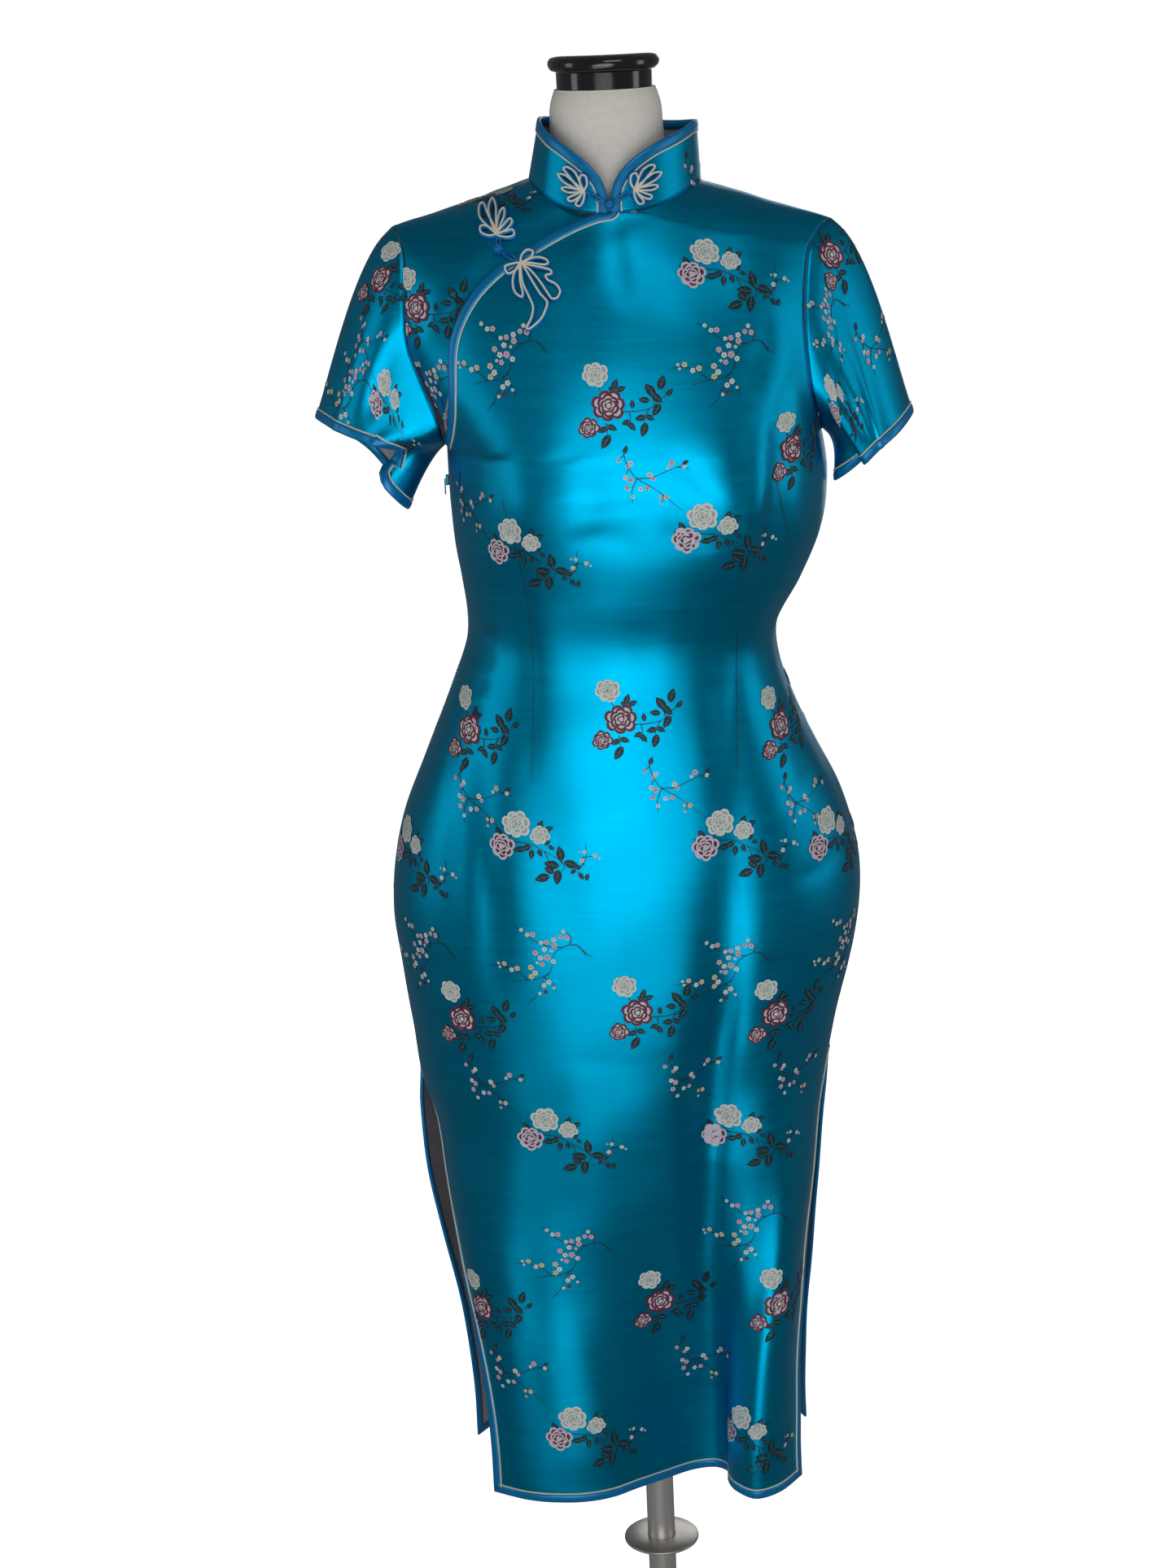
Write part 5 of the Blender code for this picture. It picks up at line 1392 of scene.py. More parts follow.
budSpray = {
    "stems": (
        ((-16.0, 16.0), (-11.0, 9.0)), ((-1.0, -3.0), (8.0, -4.0), (23.5, -2.2), (32.0, 4.0),
                                         (40.8, 13.0)),
        ((8.0, -4.0), (9.0, -10.0), (6.0, -15.0)), ((23.5, -2.2), (20.0, -9.0), (19.2, -18.0)),
        ((-10.0, -12.0), (-9.0, -18.0), (-11.0, -26.0)), ((28.0, 1.0), (26.0, 8.0)),
    ),
    "leaves": (
        (-2.5, 16.6, 70, 9.5), (2.2, 13.4, 20, 8.0), (-5.0, 12.8, 140, 7.0),
        (33.6, 17.6, 74, 12.0), (24.6, 12.0, 128, 12.5), (29.6, 6.0, 318, 11.0),
        (19.8, 4.6, 172, 9.0), (29.2, -3.2, 236, 11.0), (24.0, -9.0, 330, 8.0),
        (16.6, -9.0, 190, 9.0), (19.2, -18.0, 252, 11.5), (10.6, 1.6, 96, 7.0),
        (5.4, -12.2, 200, 7.5), (9.8, -15.2, 310, 8.5), (-5.4, -15.8, 336, 8.5),
        (-12.6, -17.2, 204, 8.5), (-10.6, -26.2, 236, 12.5), (39.6, 10.0, 40, 7.5),
    ),
    "roses": ((-17.5, 24.4, 19.5, "white", -18), (-7.8, 1.0, 25.0, "pale", 8),
              (-23.4, -15.4, 16.0, "pale", 48)),
    "blossoms": (),
}
blossomBranch = {
    "stems": (
        ((37.0, 4.0), (29.8, 13.0), (18.0, 11.0), (10.0, 4.0), (8.0, -8.0), (2.0, -15.0),
         (-2.0, -24.0), (-6.9, -33.5)),
        ((6.0, -12.0), (-4.0, -16.5), (-16.0, -18.0), (-26.0, -21.0)),
        ((18.0, 11.0), (6.0, 12.0), (-6.0, 17.0), (-16.0, 25.0), (-22.0, 28.0)),
        ((-12.0, -17.5), (-22.0, -10.0), (-34.0, -7.0), (-44.0, -8.0)),
        ((24.0, 13.5), (25.0, 20.0), (20.0, 25.0)), ((2.0, -15.0), (9.0, -21.0), (12.0, -29.0)),
        ((29.8, 13.0), (35.0, 8.0), (42.0, 2.0)), ((-6.9, -33.5), (-13.0, -39.0)),
    ),
    "leaves": (),
    "roses": (),
    "blossoms": (
        (-15.6, 25.4, 1.7, "white"), (-10.6, 21.6, 2.0, "white"), (-6.0, 21.9, 2.3, "pink"),
        (19.4, 24.6, 1.8, "white"), (16.6, 20.2, 2.1, "pink"), (22.0, 19.5, 2.3, "pink"),
        (0.6, 15.0, 1.8, "white"), (5.2, 15.6, 2.2, "pink"), (11.0, 17.6, 2.2, "white"),
        (11.4, 12.8, 2.5, "pink"), (3.2, 9.6, 2.2, "white"), (8.8, 8.4, 1.3, "white"),
        (-4.6, 6.4, 2.4, "pink"), (-0.4, 2.2, 2.3, "white"), (5.2, 2.6, 2.8, "pink"),
        (10.0, -0.8, 2.2, "white"), (0.8, -3.4, 2.2, "pink"), (-3.2, -2.2, 1.3, "white"),
        (-8.8, -6.4, 2.5, "cream"), (-5.4, -11.2, 2.4, "white"), (-8.8, -14.6, 2.4, "cream"),
        (-20.6, -8.0, 2.4, "cream"), (-25.6, -9.6, 2.1, "white"), (-32.0, -5.0, 2.2, "cream"),
        (-37.2, -5.0, 1.3, "white"), (-36.0, -8.2, 1.2, "white"), (5.6, -18.8, 2.3, "white"),
        (1.4, -21.8, 2.2, "white"), (9.6, -23.8, 1.4, "white"), (2.4, -27.6, 2.0, "maroon"),
        (-2.4, -29.0, 1.5, "white"),
    ),
}
openBranch = {
    "stems": (
        ((-18.0, 27.0), (-20.3, 20.0), (-17.0, 10.0), (-11.0, 1.5), (-2.0, -4.0), (8.9, -12.0),
         (18.6, -21.2), (24.0, -25.0)),
        ((-11.0, 1.5), (0.2, 1.7), (12.0, 6.0), (28.3, 12.0)),
        ((-17.0, 10.0), (-20.0, 2.0)), ((-11.0, 1.5), (-15.0, -8.0), (-14.9, -17.8)),
        ((20.0, 9.0), (30.0, 7.5)), ((8.9, -12.0), (8.0, -18.0)), ((-20.3, 20.0), (-26.0, 15.0)),
        ((-2.0, -4.0), (-3.5, -9.0)),
    ),
    "leaves": ((-19.0, 24.0, 70, 7.0), (27.0, 12.4, 30, 6.0)),
    "roses": (),
    "blossoms": (
        (-24.6, 16.0, 1.9, "pink"), (-15.4, 13.4, 2.1, "white"), (-17.6, 11.0, 1.8, "pink"),
        (-19.6, 2.6, 2.0, "white"), (-16.0, 0.4, 2.3, "pink"), (-18.4, -5.4, 2.2, "pink"),
        (-0.9, 4.1, 2.3, "white"), (1.6, 1.0, 1.8, "pink"), (13.2, 9.3, 1.5, "white"),
        (16.4, 12.4, 2.4, "pink"), (26.0, 9.1, 1.8, "white"), (-8.4, -6.8, 2.0, "white"),
        (-3.0, -6.2, 2.0, "pink"), (-14.5, -12.4, 1.7, "white"), (6.9, -13.4, 1.6, "cream"),
        (11.4, -13.9, 2.1, "cream"), (7.0, -18.6, 1.2, "cream"),
    ),
}

# Middles of the sprays on the front, seen from the front in metres: x, z, spray
frontSprays = (
    (0.0871, 1.3267, "rose"), (-0.0769, 1.1187, "rose"), (0.0761, 1.1283, "rose"),
    (-0.0818, 0.8786, "rose"), (0.0825, 0.8733, "rose"), (0.1683, 0.8573, "rose"),
    (-0.1850, 0.8567, "rose"), (-0.0702, 0.6225, "rose"), (0.0824, 0.6132, "rose"),
    (-0.0580, 0.3462, "rose"), (0.0777, 0.3381, "rose"),
    (0.0010, 1.2330, "bud"), (0.1406, 1.1881, "bud"), (0.0009, 0.9790, "bud"),
    (-0.1249, 0.9645, "bud"), (0.1269, 0.9567, "bud"), (0.0048, 0.7353, "bud"),
    (-0.1414, 0.7234, "bud"), (0.1176, 0.7207, "bud"), (0.0141, 0.4574, "bud"),
    (-0.1406, 0.4556, "bud"), (0.1130, 0.4577, "bud"),
    (0.0842, 1.2643, "blossom"), (-0.0888, 1.2710, "blossom"), (-0.0795, 0.7833, "blossom"),
    (0.0694, 0.7663, "blossom"), (0.1698, 0.7655, "blossom"), (-0.1825, 0.7757, "blossom"),
    (-0.0717, 0.5120, "blossom"), (0.0803, 0.5263, "blossom"),
    (0.0239, 1.1763, "open"), (0.0346, 0.9216, "open"), (-0.1237, 0.9109, "open"),
    (0.1411, 0.8952, "open"), (0.0397, 0.6703, "open"), (-0.1259, 0.6666, "open"),
    (0.1275, 0.6584, "open"), (0.0426, 0.3928, "open"), (-0.1186, 0.4001, "open"),
    (-0.1180, 1.1500, "open"), (-0.1330, 1.0300, "blossom"), (0.1300, 1.0400, "blossom"),
)
yokeSprays = ((-0.0921, 1.3870, "rose"), (-0.1480, 1.3060, "bud"), (-0.1450, 1.2400, "blossom"))
rightSleeveSprays = (
    (-0.1800, 1.3250, "bud"), (-0.1960, 1.2780, "open"), (-0.1800, 1.2260, "rose"),
    (-0.2160, 1.2420, "blossom"),
)
leftSleeveSprays = (
    (0.1790, 1.3330, "bud"), (0.1690, 1.2800, "blossom"), (0.1780, 1.2160, "rose"),
    (0.2100, 1.2600, "open"),
)
sprayRepeat = {"across": 0.163, "up": 0.249, "columns": range(-4, 5), "rows": range(-2, 7),
               "margin": 0.05}
backLattice = (("rose", -0.082, 0.342), ("bud", -0.002, 0.466), ("blossom", -0.075, 0.522),
               ("open", 0.036, 0.405))
sprays = {"rose": roseSpray, "bud": budSpray, "blossom": blossomBranch, "open": openBranch}


def clothSpot(panel, s, t, home):
    # The place on the cloth, or the last one on the way there from home at a cut edge.
    found = onCloth(panel, s, t)
    if found:
        return found
    low = 0.0
    high = 1.0
    kept = onCloth(panel, *home)
    for _ in range(5):
        middle = (low + high) / 2
        found = onCloth(
            panel, home[0] + (s - home[0]) * middle, home[1] + (t - home[1]) * middle)
        if found:
            low = middle
            kept = found
        else:
            high = middle
    return kept


def laySilk(bm, panel, middle, verts, spotOf, home, silk, layer):
    # Moves new flat vertices onto the cloth. spotOf gives millimetres from the spray's middle.
    homeSpot = (middle[0] + home[0] / 1000, middle[1] + home[1] / 1000)
    if onCloth(panel, *homeSpot) is None:
        bmesh.ops.delete(bm, geom=verts, context="VERTS")
        return
    lift = flower["lift"] + flower["layer"] * layer
    faces = {face for vertex in verts for face in vertex.link_faces}
    for vertex in verts:
        x, y = spotOf(vertex.co.x, vertex.co.y)
        place, out = clothSpot(
            panel, middle[0] + x / 1000, middle[1] + y / 1000, homeSpot)
        vertex.co = place + out * lift
    index = silkNames.index(silk)
    for face in faces:
        face.material_index = index
        face.smooth = True


def addPetal(bm, panel, middle, at, angle, length, width, silk, layer, pointed=False):
    # An oval petal, or a leaf with a point, about its middle.
    made = bmesh.ops.create_circle(
        bm, cap_ends=True, cap_tris=False, segments=flower["sides"], radius=1.0)
    turn = radians(angle)
    c = cos(turn)
    s = sin(turn)

    def spotOf(u, v):
        if pointed:
            oval = max(1 - u * u, 0.0) ** leafOutline["blunt"]
            v *= oval * (1 - leafOutline["taper"] * u) + leafOutline["bend"] * u
        else:
            v *= petalOutline["middle"] + petalOutline["end"] * u
        x = u * length / 2
        y = v * width / 2
        return at[0] + x * c - y * s, at[1] + x * s + y * c

    laySilk(bm, panel, middle, made["verts"], spotOf, at, silk, layer)


def addTwig(bm, panel, middle, line, width, silk, layer):
    # A narrow band along a line that thins out to its end.
    steps = 3 * (len(line) - 1)
    made = bmesh.ops.create_grid(bm, x_segments=steps, y_segments=1, size=0.5)
    rows = [(i / (len(line) - 1), *spot) for i, spot in enumerate(line)]

    def spotOf(u, v):
        share = u + 0.5
        x, y = curveThrough(rows, share)
        aheadX, aheadY = curveThrough(rows, min(share + 0.02, 1.0))
        backX, backY = curveThrough(rows, max(share - 0.02, 0.0))
        run = hypot(aheadX - backX, aheadY - backY)
        half = v * width * (1.15 - 0.6 * share)
        return x - (aheadY - backY) / run * half, y + (aheadX - backX) / run * half

    home = line[len(line) // 2]
    laySilk(bm, panel, middle, made["verts"], spotOf, home, silk, layer)


def addLeaf(bm, panel, middle, x, y, angle, length):
    # A pointed leaf with its veins.
    addPetal(bm, panel, middle, (x, y), angle, length, length * flower["leafWidth"], "leaf", 2,
             pointed=True)
    turn = radians(angle)
    c = cos(turn)
    s = sin(turn)
    tip = (x + c * length * leafOutline["tip"], y + s * length * leafOutline["tip"])
    foot = (x - c * length * leafOutline["foot"], y - s * length * leafOutline["foot"])
    addTwig(bm, panel, middle, (foot, (x, y), tip), flower["vein"], "vein", 3)
    if length < flower["veinedFrom"]:
        return
    for place, side, share in sideVeins:
        start = (x + c * place * length, y + s * place * length)
        reach = length * share
        lean = turn + side * flower["veinLean"]
        end = (start[0] + cos(lean) * reach, start[1] + sin(lean) * reach)
        addTwig(bm, panel, middle, (start, end), flower["sideVein"], "vein", 3)


def addRose(bm, panel, middle, x, y, size, kind, tilt):
    # Rings of cupped petals from the outside in, each over a paler or darker edge.
    edge, fill, heart = roseTones[kind]
    layer = 4
    for count, reach, length, width, start in roseRings:
        for i in range(count):
            angle = start + tilt + 360 / count * i
            uneven = 1 + rose["uneven"] * sin(rose["beat"] * i + start)
            turn = radians(angle)
            at = (x + cos(turn) * reach * size * uneven,
                  y + sin(turn) * reach * size * rose["flat"])
            addPetal(bm, panel, middle, at, angle, length * size * uneven,
                     width * size, edge, layer)
            inner = (at[0] - cos(turn) * rose["inward"] * size,
                     at[1] - sin(turn) * rose["inward"] * size)
            share = rose["paleFill" if kind == "pale" else "fill"]
            tone = fill if count > 3 or kind == "white" else heart
            addPetal(bm, panel, middle, inner, angle, length * size * share * uneven,
                     width * size * rose["fillWide"], tone, layer + 1)
        layer += 2


def addBlossom(bm, panel, middle, x, y, radius, silk):
    # Round petals with a dark eye and a light pip.
    for i in range(flower["petals"]):
        angle = 90 + 360 / flower["petals"] * i + 40 * sin(x + y)
        turn = radians(angle)
        at = (x + cos(turn) * radius * flower["petalReach"],
              y + sin(turn) * radius * flower["petalReach"])
        made = bmesh.ops.create_circle(
            bm, cap_ends=True, cap_tris=False, segments=7, radius=radius * flower["petalRound"])
        spotOf = lambda u, v, at=at: (at[0] + u, at[1] + v)
        laySilk(bm, panel, middle, made["verts"], spotOf, at, silk, 4)
    for size, tone, layer in ((0.26, "twig", 5), (0.11, "cream", 6)):
        made = bmesh.ops.create_circle(
            bm, cap_ends=True, cap_tris=False, segments=6, radius=radius * size)
        spotOf = lambda u, v: (x + u, y + v)
        laySilk(bm, panel, middle, made["verts"], spotOf, (x, y), tone, layer)


def addSpray(bm, panel, middle, spray):
    for line in spray["stems"]:
        addTwig(bm, panel, middle, line, flower["stem"], "twig", 1)
    for kind, add in (("leaves", addLeaf), ("roses", addRose), ("blossoms", addBlossom)):
        for values in spray[kind]:
            add(bm, panel, middle, *values)


def weaveFlowers(name, panel, middles):
    # All sprays of one cut piece, as one piece of brocade silk. middles are s, t, spray name.
    whole = bmesh.new()
    for s, t, kind in middles:
        bm = bmesh.new()
        addSpray(bm, panel, (s, t), sprays[kind])
        spray = bpy.data.meshes.new("spray")
        bm.to_mesh(spray)
        bm.free()
        whole.from_mesh(spray)
        bpy.data.meshes.remove(spray)
    piece = newPiece(name, whole, [silks[silk] for silk in silkNames])
    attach(piece, "dress_and_form")
    return piece


def seenFrom(panel, spots, behind=False):
    # Sprays at x, z places, in the flat coordinates of the cloth that shows there.
    middles = []
    for x, z, kind in spots:
        found = flatAt(panel, x, z, behind)
        if found:
            middles.append((*found, kind))
    return middles


def latticeOf(panel, lattice, startAcross=0.0, startUp=0.0):
    # The repeat laid over a whole cut piece in flat coordinates.
    flat = panel["flat"].reshape(-1, 2)
    low = flat.min(axis=0) - sprayRepeat["margin"]
    high = flat.max(axis=0) + sprayRepeat["margin"]
    middles = []
    for kind, s, t in lattice:
        for i in sprayRepeat["columns"]:
            for j in sprayRepeat["rows"]:
                spot = (s + startAcross + i * sprayRepeat["across"],
                        t + startUp + j * sprayRepeat["up"])
                if (low < spot).all() and (spot < high).all():
                    middles.append((*spot, kind))
    return middles


def sleeveFlowers(name, spots):
    panel = sleeves[name]
    middles = seenFrom(panel, spots) + seenFrom(panel, spots[1:3], behind=True)
    return weaveFlowers(name + "_flowers", panel, middles)


flowerPieces = {
    "front": weaveFlowers("front_flowers", frontPanel, seenFrom(frontPanel, frontSprays)),
    "yoke": weaveFlowers("right_yoke_flowers", yokePanel, seenFrom(yokePanel, yokeSprays)),
    "right_sleeve": sleeveFlowers("right_sleeve", rightSleeveSprays),
    "left_sleeve": sleeveFlowers("left_sleeve", leftSleeveSprays),
    "back": weaveFlowers("back_flowers", backPanel, latticeOf(backPanel, backLattice)),
    "collar": weaveFlowers(
        "collar_flowers", collarPanel, latticeOf(collarPanel, backLattice[2:], 0.02, -0.01)),
}
print("woven flowers laid")


# Padded form's neck, its cap and the stand. Radius and height pairs, in metres
neckCover = (
    (0.0524, 1.3830), (0.0496, 1.3930), (0.0475, 1.4050), (0.0460, 1.4180), (0.0452, 1.4300),
    (0.0447, 1.4400), (0.0444, 1.4500), (0.0434, 1.4560), (0.0419, 1.4610), (0.0404, 1.4650),
    (0.0392, 1.4664),
)
capShape = (
    (0.0, 1.4668), (0.0380, 1.4668), (0.0382, 1.4795), (0.0425, 1.4812), (0.0440, 1.4835),
    (0.0445, 1.4860), (0.0441, 1.4885), (0.0425, 1.4907), (0.0395, 1.4922), (0.0340, 1.4929),
    (0.0200, 1.4935), (0.0, 1.4937),
)
poleShape = {"radius": 0.0123, "foot": 0.0053, "top": 0.8197, "edge": 0.0006}
sharpFrom = 40
neckCoverWall = 0.0008
flangeShape = (
    (0.0127, 0.1795), (0.0196, 0.1795), (0.0205, 0.1806), (0.0205, 0.1828), (0.0212, 0.1836),
    (0.0320, 0.1850), (0.0333, 0.1858), (0.0335, 0.1866), (0.0333, 0.1874), (0.0325, 0.1880),
    (0.0140, 0.1890), (0.0127, 0.1890),
)
baseShape = (
    (0.0, 0.0), (0.1785, 0.0), (0.1800, 0.0012), (0.1800, 0.0062), (0.1793, 0.0074),
    (0.1780, 0.0080), (0.0330, 0.0080), (0.0304, 0.0088), (0.0296, 0.0110), (0.0268, 0.0405),
    (0.0258, 0.0424), (0.0240, 0.0430), (0.0126, 0.0430), (0.0126, 0.0050), (0.0, 0.0050),
)


def spunPiece(name, profile, material, node=None, closed=False):
    # A turned piece from radius and height pairs.
    bm = bmesh.new()
    verts = [bm.verts.new((radius, 0.0, height)) for radius, height in profile]
    edges = [bm.edges.new(pair) for pair in zip(verts, verts[1:])]
    if closed:
        edges.append(bm.edges.new((verts[-1], verts[0])))
    bmesh.ops.spin(
        bm, geom=verts + edges, cent=(0, 0, 0), axis=(0, 0, 1), dvec=(0, 0, 0),
        angle=2 * pi, steps=96, use_merge=True, use_duplicate=False)
    bmesh.ops.remove_doubles(bm, verts=bm.verts, dist=0.000005)
    bmesh.ops.recalc_face_normals(bm, faces=bm.faces)
    piece = newPiece(name, bm, (material,))
    shadeSoft(piece)
    piece.data.set_sharp_from_angle(angle=radians(sharpFrom))
    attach(piece, "dress_and_form")
    if node:
        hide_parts(node)
    return piece


def metalMaterial(name, low, high, roughness, metallic, streaks=(20.0, 20.0, 400.0)):
    # Metal, paint or hard gloss with faint streaks.
    material, nodes, links, shader = newMaterial(name)
    grain = streakedTone(nodes, links, shader, streaks, 4.0, 4.0, low, high)
    rough = mathNode(nodes, links, "MULTIPLY_ADD", grain, 0.2, roughness - 0.1)
    links.new(rough, shader.inputs["Roughness"])
    shader.inputs["Metallic"].default_value = metallic
    addBump(nodes, links, shader, grain, 0.15, 0.0003)
    return material


linenCover = wovenCloth(
    "linenCover", (0.80, 0.75, 0.68), (0.96, 0.91, 0.84), 0.88, 0.0, sheen=0.25,
    pitch=(330.0, 300.0, 220.0), strength=0.5, specular=0.2)
glossBlack = metalMaterial(
    "glossBlack", (0.006, 0.006, 0.007), (0.012, 0.012, 0.013), 0.16, 0.0, (3.0, 3.0, 3.0))
setInputs(glossBlack.node_tree.nodes["Principled BSDF"],
          {"Coat Weight": 0.6, "Coat Roughness": 0.05})
brushedSteel = metalMaterial(
    "brushedSteel", (0.70, 0.68, 0.64), (0.88, 0.86, 0.82), 0.34, 0.8)
darkSteel = metalMaterial(
    "darkSteel", (0.42, 0.40, 0.36), (0.58, 0.56, 0.52), 0.38, 0.8, (90.0, 90.0, 30.0))

neckCloth = spunPiece("neck_cover", neckCover, linenCover)
neckWall = neckCloth.modifiers.new("wall", "SOLIDIFY")
neckWall.thickness = neckCoverWall
neckWall.offset = -1.0
spunPiece("turned_cap", capShape, glossBlack, "neck_cap")
radius, foot, top, edge = (poleShape[key] for key in ("radius", "foot", "top", "edge"))
spunPiece(
    "steel_pole",
    ((0.0, foot), (radius - edge, foot), (radius, foot + edge), (radius, top - edge),
     (radius - edge, top), (0.0, top)),
    brushedSteel, "pole")
spunPiece("disc_flange", flangeShape, darkSteel, "pole_flange", closed=True)
spunPiece("round_base", baseShape, darkSteel, "base_plate")
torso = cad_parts["form_torso"]
torso.data.materials.clear()
torso.data.materials.append(linenCover)
print("form and stand made")


# Corded frogs: hubs seen from the front in metres, and the loops round each in millimetres
frog = {"tube": 0.00185, "cord": 0.00078, "lowerHub": (-0.0692, 1.3395),
        "upperHub": (-0.0878, 1.3607), "collarTurn": 16.8, "collarHeight": 0.0145,
        "collarLean": 76.0, "collarSquash": 0.9, "collarLow": 0.0025, "collarHigh": 0.040,
        "tubeSeat": 0.8,
        "cordSeat": 1.9, "look": 0.030, "lookLong": 0.045}
link = {"cord": 0.0011, "lift": 0.0013, "chestBow": 0.0016, "collarBow": 0.0014,
        "collarEnd": 0.005}
lowerLoops = (
    ((0, 0), (1, 5), (5.4, 9), (10, 7.5), (7, 3.2), (2, 0.5)),
    ((0, 0), (-8, -1), (-12.3, -2.8), (-11, -6.9), (-7, -6.5), (-0.5, -2)),
    ((0, 0), (10.4, 3.9), (18, 3.2), (21, 0.4), (17.5, -1.3), (7, 0)),
    ((0, 0), (5.4, -1.3), (13.6, -2.8), (21.8, -4.8), (23, -7.6), (18.6, -9), (20.5, -12.3),
     (26, -15.1), (29.2, -20), (27, -24.8), (22.9, -25.6), (20, -22), (14, -13), (7, -5)),
    ((0, 0), (0.6, -13), (5.4, -24), (8.2, -31.3), (6.7, -39), (2.8, -46.4), (5.4, -47),
     (13, -41), (17, -35), (19, -28), (14, -22), (9, -14), (3, -4)),
    ((0, 0), (-4.7, -5.4), (-6.9, -13), (-5.4, -20.5), (-0.4, -24.2), (0.6, -20.5), (-1, -13),
     (-1, -4)),
)
upperLoops = (
    ((0, 0), (-6, -1.5), (-12, 0.5), (-12.5, 4.5), (-8, 5), (-2, 2)),
    ((0, 0), (-7, 5), (-13, 11), (-13.5, 18), (-10, 20), (-6.5, 13), (-1, 4)),
    ((0, 0), (-4, 8), (-6, 17), (-3, 23.5), (0, 18), (0, 8)),
    ((0, 0), (1, 8), (3.5, 15), (6.5, 17), (6.5, 12), (3, 5)),
    ((0, 0), (5, 5), (10.5, 10), (12.5, 8), (9, 4), (4, 1)),
    ((0, 0), (6, 1.5), (12.5, 3), (13, -0.5), (8, -2), (2, -1.5)),
)
knot = {"radius": 0.0042, "placket": (-0.0865, 1.3500), "lift": 0.0022,
        "collarHeight": 0.004, "collarLift": 0.0060, "wraps": 3, "twist": 0.3,
        "coreShare": 0.80, "wrapShare": 0.84, "apart": 0.00105, "cord": 0.00085, "steps": 24}


def smoothLoop(points, steps=6, closed=True):
    # A smooth line through points that follow each other round.
    points = np.array(points, dtype=float)
    count = len(points)
    line = []
    for i in range(count if closed else count - 1):
        a = points[i]
        b = points[(i + 1) % count]
        before = points[i - 1] if closed or i > 0 else a
        after = points[(i + 2) % count] if closed or i + 2 < count else b
        for k in range(steps):
            line.append(hermite(a, (b - before) / 2, b, (after - a) / 2, k / steps))
    if not closed:
        line.append(points[-1])
    return np.array(line)


def cordPiece(name, lines, radius, material, closed=True, sides=3):
    # Round cord along one or more lines, as one mesh.
    curve = bpy.data.curves.new(name, "CURVE")
    curve.dimensions = "3D"
    curve.bevel_depth = radius
    curve.bevel_resolution = sides
    curve.use_fill_caps = not closed
    for line in lines:
        spline = curve.splines.new("POLY")
        spline.points.add(len(line) - 1)
        for target, spot in zip(spline.points, line):
            target.co = (*spot, 1.0)
        spline.use_cyclic_u = closed
    holder = bpy.data.objects.new(name + "_line", curve)
    bpy.context.scene.collection.objects.link(holder)
    bpy.context.view_layer.update()
    graph = bpy.context.evaluated_depsgraph_get()
    mesh = bpy.data.meshes.new_from_object(holder.evaluated_get(graph))
    mesh.name = name
    bpy.data.objects.remove(holder)
    bpy.data.curves.remove(curve)
    piece = bpy.data.objects.new(name, mesh)
    bpy.context.scene.collection.objects.link(piece)
    mesh.materials.clear()
    mesh.materials.append(material)
    shadeSoft(piece)
    for face in mesh.polygons:
        face.material_index = 0
    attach(piece, "dress_and_form")
    return piece


def searchTree(piece):
    bm = bmesh.new()
    bm.from_mesh(piece.data)
    tree = BVHTree.FromBMesh(bm)
    bm.free()
    return tree


def layAlong(trees, line, outs, lift):
    # Drops a line onto the nearest of several surfaces, evened out along its run.
    heights = []
    for spot, out in zip(line, outs):
        best = None
        start = Vector(spot) + Vector(out) * frog["look"]
        for tree in trees:
            hit, _, _, distance = tree.ray_cast(start, -Vector(out), frog["lookLong"])
            if hit is not None and (best is None or distance < best):
                best = distance
        heights.append(frog["look"] - best if best is not None else 0.0)
    heights = np.array(heights)
    for _ in range(2):
        raised = np.maximum(np.roll(heights, 1), np.roll(heights, -1))
        heights = np.maximum(heights, (heights + raised) / 2)
    return np.array(line) + np.array(outs) * (heights + lift)[:, None]


def chestSpot(x, z):
    angle, row = placeOnBody(x, z)
    return bodyPoint(angle, row=row), bodyOut(angle, row)


def chestLine(hub, loop):
    # A loop's places in the front view, on the body, with the outward directions.
    line = []
    outs = []
    for dx, dz in smoothLoop(loop):
        place, out = chestSpot(hub[0] + dx / 1000, hub[1] + dz / 1000)
        line.append(place)
        outs.append(out)
    return line, outs


def collarLine(side, loop):
    # A loop's places round the collar, turned to lie along it.
    line = []
    outs = []
    lean = radians(frog["collarLean"])
    for dx, dz in smoothLoop(loop):
        across = dx * cos(lean) + dz * sin(lean)
        up = -dx * sin(lean) + dz * cos(lean)
        turn = side * (frog["collarTurn"] + degrees(across / 1000 / neckHalf))
        height = frog["collarHeight"] + up * frog["collarSquash"] / 1000
        height = min(max(height, frog["collarLow"]), frog["collarHigh"])
        line.append(collarPoint(turn % 360, height))
        outs.append(collarOut(turn % 360, height))
    return line, outs


chestTrees = [frontPanel["solidTree"], yokePanel["solidTree"]]
chestTrees += [searchTree(piece) for piece in trims["placket"]]
collarTrees = [collarPanel["solidTree"]] + [searchTree(piece) for piece in trims["collar"]]
for name, lineOf, where, loops, trees in (
        ("frog_placket_lower", chestLine, frog["lowerHub"], lowerLoops, chestTrees),
        ("frog_placket_upper", chestLine, frog["upperHub"], upperLoops, chestTrees),
        ("frog_collar_right", collarLine, -1, upperLoops, collarTrees),
        ("frog_collar_left", collarLine, 1, upperLoops, collarTrees)):
    tubes = []
    cords = []
    for loop in loops:
        line, outs = lineOf(where, loop)
        tubes.append(layAlong(trees, line, outs, frog["tube"] * frog["tubeSeat"]))
        cords.append(layAlong(trees, line, outs, frog["tube"] * frog["cordSeat"]))
    tube = cordPiece(name + "_satin", tubes, frog["tube"], blueCord)
    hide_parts(name)
    cordPiece(name + "_cream", cords, frog["cord"], creamCord, sides=2)


